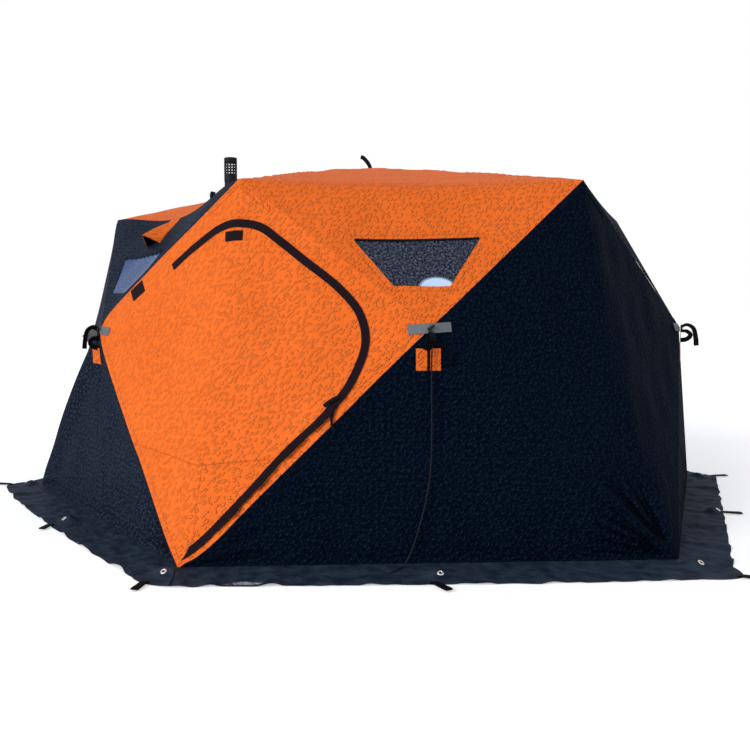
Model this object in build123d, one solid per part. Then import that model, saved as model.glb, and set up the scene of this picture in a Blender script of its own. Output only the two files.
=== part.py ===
"""Pop-up ice fishing tent: quilted walls and roof on a frame of hubs and poles, in millimetres.

The origin is on the ground under the roof hub, +X runs to the right and +Y away from someone facing the
front wall, and +Z is up. Wall 0 is the front wall, and walls and corners count anticlockwise seen from above:
corner 0 is the front left corner, which holds the door.
"""

from build123d import *
import math
import os

# The tent's outline, on the outer face of the cloth
SIDES = 6
FOOT_RADIUS = 2160
EAVE_RADIUS = 1638
EAVE_HEIGHT = 1715
HUB_HEIGHT = 1011
HUB_PUSH = 217.88
ROOF_RISE = 340
ROOF_HEIGHT = EAVE_HEIGHT + ROOF_RISE

# Each hub pushes the middle of its wall out past the straight line from foot to eave
MIDDLE_SHARE = math.cos(math.pi / SIDES)
HUB_SHARE = HUB_HEIGHT / EAVE_HEIGHT
HUB_RADIUS = MIDDLE_SHARE * (FOOT_RADIUS + (EAVE_RADIUS - FOOT_RADIUS) * HUB_SHARE) + HUB_PUSH

# Cloth, seams and the room round moving pieces
CLOTH = 5
SEAM = 0.3
DOOR_GAP = 5
OVERRUN = 40

# Windows, measured up the slope of the upper panel from the hub
WINDOW_LOW = 215
WINDOW_HIGH = 468
WINDOW_TOP_WIDTH = 590
WINDOW_FOOT_WIDTH = 250
WINDOW_CORNER = 12
FILM = 1.5

# Vent hood on two of the upper panels
VENT_OFFSET = 10
VENT_LOW = 522
VENT_HIGH = 671
VENT_TOP_WIDTH = 330
VENT_FOOT_WIDTH = 174
VENT_REACH = 101
VENT_TIP = 628
VENT_HEM = 26
HOOD = 3
MESH = 2

# Door, set from the corner's foot, its eave and the hub beside it, and measured across from its edge
DOOR_FOOT = 75
DOOR_BELOW_EAVE = 224.7
HINGE_BELOW_EAVE = 395.7
HINGE_TOP_ACROSS = 371
APEX_BELOW_EAVE = 200.7
APEX_ACROSS = 88
APEX_FILLET = 120
BULGE_BELOW_HUB = 63.7
BULGE_FROM_HUB = 134
BULGE_FILLET = 302

# Storm flap over the door's zip
FLAP_WIDTH = 52
FLAP_SEWN = 14
FLAP_CLOTH = 2.5
FLAP_FROM_HINGE = 34
FLAP_FROM_FOOT = 60

# Patches that hold the open door back
TIE_LENGTH = 82
TIE_WIDTH = 44
TIE_THICKNESS = 3
DOOR_TIE_BELOW_EAVE = 324.7
DOOR_TIE_ACROSS = 62
WALL_TIE_BELOW_EAVE = 472.7
WALL_TIE_ACROSS = 662

# Frame
POLE_RADIUS = 5.5
HUB_BODY_RADIUS = 44
HUB_BODY_DEPTH = 46
POCKET_RADIUS = 62
ROOF_HUB_RADIUS = 66
ROOF_HUB_DEPTH = 52

# What is sewn on outside each wall hub
STRIP_LENGTH = 190
STRIP_WIDTH = 42
STRIP_THICKNESS = 1.5
STRAP_WIDTH = 25
STRAP_THICKNESS = 2.5
STRAP_REACH = 52
STRAP_DROP = 150
TAB_WIDTH = 103
TAB_HEIGHT = 102
TAB_DROP = 80
TAB_THICKNESS = 3
ROOF_STRAP_REACH = 62
ROOF_STRAP_RISE = 78

# Snow skirt with its eyelets and peg loops
SKIRT_WIDTH = 260
SKIRT = 3
EYELET_HOLE = 6
EYELET_BARREL = 9
EYELET_RIM = 12.5
EYELET_RIM_THICKNESS = 1.5
WALL_EYELET_OUT = 145
CORNER_EYELET_OUT = 78
LOOP_WIDTH = 52
LOOP_LENGTH = 74

# Stove pipe, its jack in the roof and the perforated end
PIPE_X = -890
PIPE_Y = -500
PIPE_RADIUS = 36
PIPE_WALL = 1.5
PIPE_BELOW = 180
PIPE_ABOVE = 95
JACK_RADIUS = 120
JACK_CLOTH = 3
JACK_HOLE = 52
COLLAR_WALL = 3
COLLAR_ABOVE = 42
ARRESTOR_WALL = 1.5
ARRESTOR_OVERLAP = 32
ARRESTOR_LENGTH = 132
HOLE_SIZE = 8.5
HOLE_PITCH = 16
HOLE_ROWS = 5
HOLE_COLUMNS = 14
HOLE_FROM_TOP = 27

# The guy rope that hangs from the front hub: its route, chosen by hand
ROPE_RADIUS = 3
ROPE_ROUTE = [
    (2, -1846, 990),
    (3, -1846, 940),
    (-1, -1853, 860),
    (2, -1856, 500),
    (-3, -1859, 410),
    (-14, -1863, 325),
    (-31, -1868, 245),
    (-52, -1872, 170),
    (-74, -1876, 100),
    (-96, -1884, 45),
    (-121, -1905, 13),
    (-152, -1938, 6.6),
    (-181, -1980, 6.7),
    (-222, -2010, 6.6),
    (-262, -2014, 6.6),
]
ROPE_BEND_SHARE = 0.45

# Which walls carry a vent hood, which one the stove pipe, and which corner the door
VENT_WALLS = ["front_left", "back_right"]
PIPE_WALL_NAME = "front_left"
WALL_NAMES = ["front", "front_right", "back_right", "back", "back_left", "front_left"]
CORNER_NAMES = ["front_left", "front_right", "right", "back_right", "back_left", "left"]
STEP_ANGLE = 360 / SIDES
FRONT_ANGLE = -90
DOOR_CORNER = CORNER_NAMES.index("front_left")


def ring(radius, angle, height):
    turn = math.radians(angle)
    return Vector(radius * math.cos(turn), radius * math.sin(turn), height)


def wall_angle(wall):
    return FRONT_ANGLE + STEP_ANGLE * wall


def corner_angle(corner):
    return wall_angle(corner) - STEP_ANGLE / 2


def foot(corner):
    return ring(FOOT_RADIUS, corner_angle(corner), 0)


def eave(corner):
    return ring(EAVE_RADIUS, corner_angle(corner), EAVE_HEIGHT)


def hub(wall):
    return ring(HUB_RADIUS, wall_angle(wall), HUB_HEIGHT)


ROOF_TOP = Vector(0, 0, ROOF_HEIGHT)


def panels():
    """Every flat panel of the tent: its kind and wall, with the corners of its outer face."""
    found = {}
    for wall in range(SIDES):
        after = (wall + 1) % SIDES
        found["roof", wall] = [ROOF_TOP, eave(wall), eave(after)]
        found["upper", wall] = [hub(wall), eave(wall), eave(after)]
        found["lower", wall] = [hub(wall), foot(wall), foot(after)]
        found["left", wall] = [hub(wall), foot(wall), eave(wall)]
        found["right", wall] = [hub(wall), foot(after), eave(after)]
    return found


PANELS = panels()


def outward(panel):
    first, second, third = PANELS[panel]
    normal = (second - first).cross(third - first).normalized()
    return normal if normal.dot(first) > 0 else normal * -1


def touching(panel):
    """The other panels that share a corner with this one."""
    mine = PANELS[panel]
    near = []
    for other, corners in PANELS.items():
        if other != panel and any((a - b).length < SEAM for a in mine for b in corners):
            near.append(other)
    return near


def shared_corner(panel, other):
    for a in PANELS[panel]:
        for b in PANELS[other]:
            if (a - b).length < SEAM:
                return a
    return None


def prism(points, direction, depth):
    return extrude(Face(Wire.make_polygon(points)), amount=depth, dir=direction)


def mitred(solid, panel):
    """Trims a solid that lies in a panel to the planes halfway to each neighbour, less half a seam."""
    normal = outward(panel)
    for other in touching(panel):
        away = (outward(other) - normal).normalized()
        at = shared_corner(panel, other) - away * (SEAM / 2)
        solid = split(solid, bisect_by=Plane(origin=at, z_dir=away), keep=Keep.BOTTOM)
    return solid


def sheet(panel):
    """The panel's cloth, with its outer face on the tent's outline."""
    return mitred(prism(PANELS[panel], outward(panel) * -1, CLOTH), panel)


def wall_plane(panel):
    """A plane on a wall panel's outer face: origin at the hub, X along the wall, Y away from the hub."""
    at, first, second = PANELS[panel]
    along = (second - first).normalized()
    return Plane(origin=at, x_dir=along, z_dir=outward(panel))


def uphill(panel):
    """Which way along the wall plane's Y the panel runs from its hub."""
    at, first, second = PANELS[panel]
    middle = (first + second) * 0.5 - at
    return 1 if middle.dot(wall_plane(panel).y_dir) > 0 else -1


def trapezoid(low, high, foot_width, top_width):
    return Polygon(
        (-foot_width / 2, low), (foot_width / 2, low), (top_width / 2, high), (-top_width / 2, high), align=None
    )


def slab(plane, sketch, start, thickness):
    """A flat piece on a plane, from a height above it, with a thickness outward."""
    return extrude(plane.offset(start) * sketch, amount=thickness, dir=plane.z_dir)


def window_sketch(room):
    shape = trapezoid(WINDOW_LOW, WINDOW_HIGH, WINDOW_FOOT_WIDTH, WINDOW_TOP_WIDTH)
    shape = fillet(shape.vertices(), WINDOW_CORNER)
    return offset(shape, room) if room else shape


def vent_base(room):
    shape = trapezoid(VENT_LOW, VENT_HIGH, VENT_FOOT_WIDTH, VENT_TOP_WIDTH)
    shape = offset(shape, room, kind=Kind.INTERSECTION) if room else shape
    return Pos(VENT_OFFSET, 0) * shape


def upper_panel(wall):
    panel = ("upper", wall)
    plane = wall_plane(panel)
    cloth = sheet(panel)
    cloth -= slab(plane, window_sketch(0), -CLOTH - OVERRUN, CLOTH + 2 * OVERRUN)
    if WALL_NAMES[wall] in VENT_WALLS:
        cloth -= slab(plane, vent_base(-VENT_HEM), -CLOTH - OVERRUN, CLOTH + 2 * OVERRUN)
    return cloth


def window_film(wall):
    """The clear film, held inside the window's edge."""
    plane = wall_plane(("upper", wall))
    return slab(plane, window_sketch(-SEAM), -(CLOTH + FILM) / 2, FILM)


def vent_mesh(wall):
    plane = wall_plane(("upper", wall))
    return slab(plane, vent_base(-VENT_HEM - SEAM), -(CLOTH + MESH) / 2, MESH)


def vent_hood(wall):
    """A pyramid of cloth over the vent, open on the side that faces down."""
    plane = wall_plane(("upper", wall))

    def at(along, up, out):
        return plane.from_local_coords(Vector(VENT_OFFSET + along, up, out))

    def pyramid(inset, lift):
        top = VENT_HIGH - inset
        low = VENT_LOW - inset
        corners = [
            at(-VENT_TOP_WIDTH / 2 + inset, top, lift),
            at(VENT_TOP_WIDTH / 2 - inset, top, lift),
            at(VENT_FOOT_WIDTH / 2 - inset, low, lift),
            at(-VENT_FOOT_WIDTH / 2 + inset, low, lift),
        ]
        tip = at(0, VENT_TIP - inset, VENT_REACH - inset)
        faces = [Face(Wire.make_polygon(corners))]
        for index in range(len(corners)):
            beside = corners[(index + 1) % len(corners)]
            faces.append(Face(Wire.make_polygon([corners[index], beside, tip])))
        return Solid(Shell(faces))

    return pyramid(0, SEAM) - pyramid(2 * HOOD, 0)


def corner_plane(corner, kind):
    """A plane on one half of a corner: origin at its foot, X across towards the hub."""
    panel = (kind, corner) if kind == "left" else (kind, (corner - 1) % SIDES)
    base = foot(corner)
    edge = (eave(corner) - base).normalized()
    reach = PANELS[panel][0] - base
    across = (reach - edge * reach.dot(edge)).normalized()
    plane = Plane(origin=base, x_dir=across, z_dir=outward(panel))
    sign = 1 if plane.y_dir.dot(edge) > 0 else -1
    return panel, plane, sign


def edge_length():
    """How long a corner's edge is, from its foot to its eave."""
    return (eave(DOOR_CORNER) - foot(DOOR_CORNER)).length


def hub_place():
    """Where the hub lies on one half of a corner: across from the edge, and up along it."""
    panel, plane, sign = corner_plane(DOOR_CORNER, "left")
    local = plane.to_local_coords(PANELS[panel][0])
    return local.X, sign * local.Y


def outline(points, sign):
    return Polygon(*[(across, sign * up) for across, up in points], align=None)


def rounded(shape, point, sign, radius):
    corner = shape.vertices().sort_by_distance((point[0], sign * point[1], 0))[0]
    return fillet(corner, radius)


def bulge_point():
    across, up = hub_place()
    return across - BULGE_FROM_HUB, up - BULGE_BELOW_HUB


def apex_point():
    return APEX_ACROSS, edge_length() - APEX_BELOW_EAVE


def hinge_top():
    return HINGE_TOP_ACROSS, edge_length() - HINGE_BELOW_EAVE


def door_half(kind, sign, room):
    """The door's outline on one half of the corner, carried past its edge, and grown or shrunk by some room."""
    top = edge_length() - DOOR_BELOW_EAVE
    if kind == "left":
        bulge, apex = bulge_point(), apex_point()
        fall = OVERRUN * (bulge[1] - DOOR_FOOT) / bulge[0]
        drop = OVERRUN * (apex[1] - top) / apex[0]
        shape = outline([(-OVERRUN, DOOR_FOOT - fall), bulge, apex, (-OVERRUN, top - drop)], sign)
        shape = rounded(shape, bulge, sign, BULGE_FILLET)
        shape = rounded(shape, apex, sign, APEX_FILLET)
    else:
        fold = hinge_top()
        fall = OVERRUN * (fold[1] - DOOR_FOOT) / fold[0]
        rise = OVERRUN * (top - fold[1]) / fold[0]
        shape = outline([(-OVERRUN, DOOR_FOOT - fall), fold, (-OVERRUN, top + rise)], sign)
    return offset(shape, room, kind=Kind.INTERSECTION) if room else shape


def through(plane, sketch):
    return slab(plane, sketch, -CLOTH - OVERRUN, CLOTH + 2 * OVERRUN)


def hinge_line():
    """The two ends of the door's fold line, on the outer face."""
    panel, plane, sign = corner_plane(DOOR_CORNER, "right")
    low = plane.from_local_coords(Vector(0, sign * DOOR_FOOT, 0))
    across, up = hinge_top()
    high = plane.from_local_coords(Vector(across, sign * up, 0))
    return low, high


def hinge_cord():
    low, high = hinge_line()
    direction = (high - low).normalized()
    start = low + direction * (2 * OVERRUN)
    length = (high - start).length - OVERRUN
    return extrude(Plane(origin=start, z_dir=direction) * Circle(DOOR_GAP - SEAM), amount=length)


def door():
    halves = []
    for kind in ("left", "right"):
        panel, plane, sign = corner_plane(DOOR_CORNER, kind)
        halves.append(sheet(panel) & through(plane, door_half(kind, sign, 0)))
    halves[1] += hinge_cord()
    return halves


def doorway():
    """The cloth round the door: over it, on its fold side and on its zip side."""
    panel, plane, sign = corner_plane(DOOR_CORNER, "right")
    fold_cloth = sheet(panel) - through(plane, door_half("right", sign, DOOR_GAP))
    low, high = hinge_line()
    fold = (high - low).normalized()
    fold_normal = plane.z_dir.cross(fold).normalized()
    if fold_normal.dot(plane.x_dir) < 0:
        fold_normal = fold_normal * -1
    at = Plane(origin=low + fold_normal * DOOR_GAP, z_dir=fold_normal)
    fold_side = split(fold_cloth, bisect_by=at.offset(SEAM / 2), keep=Keep.TOP)
    fold_header = split(fold_cloth, bisect_by=at.offset(-SEAM / 2), keep=Keep.BOTTOM)

    panel, plane, sign = corner_plane(DOOR_CORNER, "left")
    zip_cloth = sheet(panel) - through(plane, door_half("left", sign, DOOR_GAP))
    across, up = apex_point()
    apex = plane.from_local_coords(Vector(across, sign * up, 0))
    across, up = bulge_point()
    bulge = plane.from_local_coords(Vector(across, sign * up, 0))
    run = (bulge - apex).normalized()
    at = Plane(origin=bulge - run * (BULGE_FILLET + OVERRUN), z_dir=run)
    zip_side = split(zip_cloth, bisect_by=at.offset(SEAM / 2), keep=Keep.TOP)
    zip_header = split(zip_cloth, bisect_by=at.offset(-SEAM / 2), keep=Keep.BOTTOM)
    return fold_side, fold_header, zip_side, zip_header


def door_flap():
    """The strip of cloth over the zip: sewn to the door, standing clear of the cloth beyond it."""
    pieces = []
    for kind in ("left", "right"):
        panel, plane, sign = corner_plane(DOOR_CORNER, kind)
        outer = door_half(kind, sign, FLAP_WIDTH / 2)
        inner = door_half(kind, sign, -FLAP_WIDTH / 2)
        sewn = door_half(kind, sign, -FLAP_WIDTH / 2 + FLAP_SEWN)
        strip = slab(plane, outer - inner, 0, DOOR_GAP + FLAP_CLOTH)
        strip -= slab(plane, offset(outer, OVERRUN) - sewn, 0, DOOR_GAP)
        low = plane.from_local_coords(Vector(0, sign * (DOOR_FOOT + FLAP_FROM_FOOT), 0))
        edge = (eave(DOOR_CORNER) - foot(DOOR_CORNER)).normalized()
        strip = split(strip, bisect_by=Plane(origin=low, z_dir=edge), keep=Keep.TOP)
        if kind == "right":
            start, end = hinge_line()
            fold = (end - start).normalized()
            away = plane.z_dir.cross(fold).normalized()
            if away.dot(plane.x_dir) > 0:
                away = away * -1
            clear = Plane(origin=start + away * FLAP_FROM_HINGE, z_dir=away)
            strip = split(strip, bisect_by=clear, keep=Keep.TOP)
        pieces.append(mitred(strip, panel))
    return pieces


def patch_on(plane, across, up, turn, length, width, thickness):
    return slab(plane, Pos(across, up) * Rot(0, 0, turn) * Rectangle(length, width), 0, thickness)


def door_tie():
    panel, plane, sign = corner_plane(DOOR_CORNER, "left")
    up = edge_length() - DOOR_TIE_BELOW_EAVE
    return patch_on(plane, DOOR_TIE_ACROSS, sign * up, 0, TIE_LENGTH, TIE_WIDTH, TIE_THICKNESS)


def wall_tie():
    panel, plane, sign = corner_plane(DOOR_CORNER, "right")
    seam = plane.to_local_coords(PANELS[panel][0]) - plane.to_local_coords(eave(DOOR_CORNER))
    turn = math.degrees(math.atan2(seam.Y, seam.X))
    up = edge_length() - WALL_TIE_BELOW_EAVE
    return patch_on(plane, WALL_TIE_ACROSS, sign * up, turn, TIE_LENGTH, TIE_WIDTH, TIE_THICKNESS)


def inside(solid, kinds):
    """Cuts a solid back to the inner faces of the given panels, with a seam of room."""
    for panel in kinds:
        normal = outward(panel)
        at = PANELS[panel][0] - normal * (CLOTH + SEAM)
        solid = split(solid, bisect_by=Plane(origin=at, z_dir=normal), keep=Keep.BOTTOM)
    return solid


def pole(start, end, first, second, start_room, end_room):
    """A rod that lies in the fold between two panels, from one end's room to the other's."""
    run = (end - start).normalized()
    inward = (outward(first) + outward(second)).normalized() * -1
    slant = -inward.dot(outward(first))
    axis = start + inward * ((CLOTH + SEAM + POLE_RADIUS) / slant)
    length = (end - start).length
    aside = max((axis - start).length - POLE_RADIUS, 0)
    near = math.sqrt(start_room**2 - aside**2) + SEAM
    far = math.sqrt(end_room**2 - aside**2) + SEAM
    return extrude(Plane(origin=axis + run * near, z_dir=run) * Circle(POLE_RADIUS), amount=length - near - far)


def wall_poles(wall):
    after = (wall + 1) % SIDES
    at = hub(wall)
    reach = HUB_BODY_RADIUS + 2 * POLE_RADIUS
    ends = [
        (foot(wall), ("lower", wall), ("left", wall)),
        (foot(after), ("lower", wall), ("right", wall)),
        (eave(wall), ("upper", wall), ("left", wall)),
        (eave(after), ("upper", wall), ("right", wall)),
    ]
    return [pole(at, end, first, second, reach, POCKET_RADIUS) for end, first, second in ends]


def roof_poles():
    reach = ROOF_HUB_RADIUS + POLE_RADIUS
    return [
        pole(ROOF_TOP, eave(k), ("roof", k), ("roof", (k - 1) % SIDES), reach, POCKET_RADIUS) for k in range(SIDES)
    ]


def wall_hub(wall):
    facing = ring(1, wall_angle(wall), 0)
    back = Plane(origin=hub(wall) - facing * HUB_BODY_DEPTH, z_dir=facing)
    body = extrude(back * Circle(HUB_BODY_RADIUS), amount=HUB_BODY_DEPTH + OVERRUN)
    return inside(body, [(kind, wall) for kind in ("upper", "lower", "left", "right")])


def roof_hub():
    body = Pos(0, 0, ROOF_HEIGHT - ROOF_HUB_DEPTH) * extrude(Circle(ROOF_HUB_RADIUS), amount=ROOF_HUB_DEPTH)
    return inside(body, [("roof", wall) for wall in range(SIDES)])


def pocket(corner, at, kinds):
    before = (corner - 1) % SIDES
    ball = Pos(at) * Sphere(POCKET_RADIUS)
    panels_here = [("left", corner), ("right", before)]
    for kind in kinds:
        panels_here += [(kind, corner), (kind, before)]
    return inside(ball, panels_here)


def foot_pocket(corner):
    ball = pocket(corner, foot(corner), ["lower"])
    return split(ball, bisect_by=Plane(origin=(0, 0, SEAM), z_dir=(0, 0, 1)), keep=Keep.TOP)


def eave_pocket(corner):
    return pocket(corner, eave(corner), ["upper", "roof"])


def hub_strip(wall):
    """The band across the hub, folded over the ridge that the hub makes."""
    facing = ring(1, wall_angle(wall), 0)
    along = Vector(0, 0, 1).cross(facing)
    halves = []
    for kind, side in (("left", -1), ("right", 1)):
        normal = outward((kind, wall))
        flat = (along * side - normal * normal.dot(along * side)).normalized()
        level = Plane(origin=hub(wall), x_dir=flat, z_dir=normal)
        band = Pos(STRIP_LENGTH / 4 - OVERRUN / 2, 0) * Rectangle(STRIP_LENGTH / 2 + OVERRUN, STRIP_WIDTH)
        piece = slab(level, band, SEAM, STRIP_THICKNESS)
        middle = Plane(origin=hub(wall), z_dir=along * side)
        halves.append(split(piece, bisect_by=middle, keep=Keep.TOP))
    return halves[0] + halves[1]


def profile_strip(wall, base, points, width):
    """A band of webbing seen edge on: a closed outline of reach and height, as wide as the webbing."""
    facing = ring(1, wall_angle(wall), 0)
    along = Vector(0, 0, 1).cross(facing)
    edge = Plane(origin=base - along * (width / 2), x_dir=facing, z_dir=along)
    turned = 1 if edge.y_dir.Z > 0 else -1
    shape = Polygon(*[(x, turned * y) for x, y in points], align=None)
    return extrude(edge * shape, amount=width, dir=along)


def hub_strap(wall):
    thick = STRAP_THICKNESS
    base = hub(wall) + ring(1, wall_angle(wall), 0) * (STRIP_THICKNESS + 3 * SEAM)
    points = [
        (0, thick),
        (STRAP_REACH - 3 * thick, thick),
        (STRAP_REACH - thick, 0),
        (STRAP_REACH, -3 * thick),
        (STRAP_REACH, -STRAP_DROP),
        (STRAP_REACH - thick, -STRAP_DROP),
        (STRAP_REACH - thick, -3 * thick),
        (STRAP_REACH - 2 * thick, -thick),
        (STRAP_REACH - 4 * thick, 0),
        (0, 0),
    ]
    return profile_strip(wall, base, points, STRAP_WIDTH)


def roof_strap():
    thick = STRAP_THICKNESS
    base = ROOF_TOP + Vector(0, 0, SEAM)
    points = [
        (0, 0),
        (thick, 0),
        (-ROOF_STRAP_REACH + thick, ROOF_STRAP_RISE),
        (-ROOF_STRAP_REACH, ROOF_STRAP_RISE),
    ]
    return profile_strip(1, base, points, STRAP_WIDTH)


def rope_tab(wall):
    panel = ("lower", wall)
    plane = wall_plane(panel)
    down = uphill(panel)
    middle = down * (TAB_DROP + TAB_HEIGHT / 2)
    return patch_on(plane, 0, middle, 0, TAB_WIDTH, TAB_HEIGHT, TAB_THICKNESS)


def ground_plane(angle, radius):
    out = ring(1, angle, 0)
    return Plane(origin=out * radius, x_dir=out, z_dir=(0, 0, 1))


def skirt_strip(wall):
    """The skirt along one wall, with its eyelet's hole."""
    inner = FOOT_RADIUS * math.cos(math.pi / SIDES) + SEAM
    plane = ground_plane(wall_angle(wall), inner)
    band = Pos(SKIRT_WIDTH / 2, 0) * Rectangle(SKIRT_WIDTH, FOOT_RADIUS - SEAM)
    hole = Pos(WALL_EYELET_OUT, 0) * Circle(EYELET_BARREL + SEAM)
    return slab(plane, band - hole, 0, SKIRT)


def skirt_corner(corner):
    """The gusset that fills the skirt between two walls."""
    plane = ground_plane(corner_angle(corner), FOOT_RADIUS)
    half = math.pi / SIDES
    inset = SEAM / math.sin(half)
    tip = SKIRT_WIDTH / math.cos(half)
    side = (SKIRT_WIDTH * math.cos(half), SKIRT_WIDTH * math.sin(half))
    kite = Polygon((inset, 0), (side[0], -side[1] + SEAM), (tip, 0), (side[0], side[1] - SEAM), align=None)
    hole = Pos(CORNER_EYELET_OUT, 0) * Circle(EYELET_BARREL + SEAM)
    return slab(plane, kite - hole, 0, SKIRT)


def eyelet(angle, radius):
    plane = ground_plane(angle, radius)
    barrel = slab(plane, Circle(EYELET_BARREL) - Circle(EYELET_HOLE), 0, SKIRT)
    rim = slab(plane, Circle(EYELET_RIM) - Circle(EYELET_HOLE), SKIRT, EYELET_RIM_THICKNESS)
    return barrel + rim


def peg_loop(angle, radius):
    plane = ground_plane(angle, radius + SEAM)
    shape = Pos(LOOP_LENGTH / 2, 0) * Rectangle(LOOP_LENGTH, LOOP_WIDTH)
    ends = shape.vertices().sort_by(Axis.X)[-2:]
    return slab(plane, fillet(ends, LOOP_WIDTH / 3), 0, SKIRT)


def wall_eyelet_radius():
    return FOOT_RADIUS * math.cos(math.pi / SIDES) + SEAM + WALL_EYELET_OUT


def eyelets():
    found = []
    for index in range(SIDES):
        found.append(eyelet(wall_angle(index), wall_eyelet_radius()))
        found.append(eyelet(corner_angle(index), FOOT_RADIUS + CORNER_EYELET_OUT))
    return found


def peg_loops():
    found = []
    wall_edge = FOOT_RADIUS * math.cos(math.pi / SIDES) + SEAM + SKIRT_WIDTH
    corner_edge = FOOT_RADIUS + SKIRT_WIDTH / math.cos(math.pi / SIDES)
    for index in range(SIDES):
        found.append(peg_loop(wall_angle(index), wall_edge))
        found.append(peg_loop(corner_angle(index), corner_edge))
    return found


def roof_height_at(x, y):
    panel = ("roof", WALL_NAMES.index(PIPE_WALL_NAME))
    normal = outward(panel)
    return (normal.dot(ROOF_TOP) - normal.X * x - normal.Y * y) / normal.Z


def upright(radius, low, high):
    return Pos(PIPE_X, PIPE_Y, low) * extrude(Circle(radius), amount=high - low)


def stove_pipe():
    roof = roof_height_at(PIPE_X, PIPE_Y)
    low, high = roof - PIPE_BELOW, roof + PIPE_ABOVE
    return upright(PIPE_RADIUS, low, high) - upright(PIPE_RADIUS - PIPE_WALL, low - OVERRUN, high + OVERRUN)


def spark_arrestor():
    """A closed sleeve over the top of the pipe, with rows of punched holes."""
    roof = roof_height_at(PIPE_X, PIPE_Y)
    low = roof + PIPE_ABOVE - ARRESTOR_OVERLAP
    high = low + ARRESTOR_LENGTH
    inner = PIPE_RADIUS + SEAM
    outer = inner + ARRESTOR_WALL
    sleeve = upright(outer, low, high) - upright(inner, low - OVERRUN, high - ARRESTOR_WALL)
    punch = Box(4 * outer, HOLE_SIZE, HOLE_SIZE)
    for row in range(HOLE_ROWS):
        level = high - HOLE_FROM_TOP - row * HOLE_PITCH
        for column in range(HOLE_COLUMNS // 2):
            sleeve -= Pos(PIPE_X, PIPE_Y, level) * Rot(0, 0, column * 360 / HOLE_COLUMNS) * punch
    return sleeve


def stove_jack():
    """A patch on the roof with a collar that holds the pipe upright."""
    panel = ("roof", WALL_NAMES.index(PIPE_WALL_NAME))
    roof = roof_height_at(PIPE_X, PIPE_Y)
    plane = Plane(origin=(PIPE_X, PIPE_Y, roof), z_dir=outward(panel))
    inner = PIPE_RADIUS + SEAM
    collar = upright(inner + COLLAR_WALL, roof - 2 * OVERRUN, roof + COLLAR_ABOVE)
    collar = split(collar, bisect_by=plane, keep=Keep.TOP)
    flange = slab(plane, Circle(JACK_RADIUS), 0, JACK_CLOTH)
    return flange + collar - upright(inner, roof - 2 * OVERRUN, roof + 2 * COLLAR_ABOVE)


def roof():
    gores = []
    for wall in range(SIDES):
        gore = sheet(("roof", wall))
        if WALL_NAMES[wall] == PIPE_WALL_NAME:
            height = roof_height_at(PIPE_X, PIPE_Y)
            gore -= upright(JACK_HOLE, height - 2 * OVERRUN, height + 2 * OVERRUN)
        gores.append(gore)
    return gores


def guy_rope():
    points = [Vector(*point) for point in ROPE_ROUTE]
    radii = []
    for before, here, after in zip(points, points[1:], points[2:]):
        first = here - before
        second = after - here
        turn = math.radians(first.get_angle(second))
        radii.append(ROPE_BEND_SHARE * min(first.length, second.length) / math.tan(turn / 2))
    path = FilletPolyline(*points, radius=radii)
    start = Plane(origin=path @ 0, z_dir=path % 0)
    rope = sweep(start * Circle(ROPE_RADIUS), path=path)
    print("rope length", round(path.length), "volume share", rope.volume / (math.pi * ROPE_RADIUS**2 * path.length))
    print("rope radii", [round(radius) for radius in radii])
    return rope


def write(name, solids):
    solids = solids if isinstance(solids, list) else [solids]
    found = []
    for solid in solids:
        found += solid.solids()
    export_step(Compound(children=found), "parts/" + name + ".step")


os.makedirs("parts", exist_ok=True)

write("roof_canopy", roof())
for wall, name in enumerate(WALL_NAMES):
    write(name + "_upper_panel", upper_panel(wall))
    write(name + "_lower_panel", sheet(("lower", wall)))
    write(name + "_wall_poles", wall_poles(wall))
for corner, name in enumerate(CORNER_NAMES):
    if corner != DOOR_CORNER:
        halves = [sheet(("left", corner)), sheet(("right", (corner - 1) % SIDES))]
        write(name + "_corner_panel", halves)

fold_side, fold_header, zip_side, zip_header = doorway()
write("doorway_header", [fold_header, zip_header])
write("doorway_fold_side", fold_side)
write("doorway_zip_side", zip_side)
write("door", door())
write("door_storm_flap", door_flap())
write("door_tie_patch", door_tie())
write("wall_tie_patch", wall_tie())

write("window_films", [window_film(wall) for wall in range(SIDES)])
write("vent_hoods", [vent_hood(WALL_NAMES.index(name)) for name in VENT_WALLS])
write("vent_meshes", [vent_mesh(WALL_NAMES.index(name)) for name in VENT_WALLS])

write("roof_poles", roof_poles())
write("wall_hubs", [wall_hub(wall) for wall in range(SIDES)])
write("roof_hub", roof_hub())
write("foot_pockets", [foot_pocket(corner) for corner in range(SIDES)])
write("eave_pockets", [eave_pocket(corner) for corner in range(SIDES)])

write("hub_strips", [hub_strip(wall) for wall in range(SIDES)])
write("hub_straps", [hub_strap(wall) for wall in range(SIDES)])
write("roof_strap", roof_strap())
write("rope_tabs", [rope_tab(wall) for wall in range(SIDES)])
write("guy_rope", guy_rope())

write("snow_skirt", [skirt_strip(wall) for wall in range(SIDES)])
write("skirt_corners", [skirt_corner(corner) for corner in range(SIDES)])
write("eyelets", eyelets())
write("peg_loops", peg_loops())

write("stove_pipe", stove_pipe())
write("spark_arrestor", spark_arrestor())
write("stove_jack", stove_jack())
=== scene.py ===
"""The looks of a pop-up ice fishing tent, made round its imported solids, in metres.

The cloth is spread over the tent's flat outline, cut by cut, and one rule then lets it give way: eaves and
corners sag between the poles, seams drift, and creases run where the cloth is drawn tight.
"""

import math

import bmesh
import bpy
import numpy as np
from mathutils import Matrix, Vector
from mathutils.geometry import delaunay_2d_cdt


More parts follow.
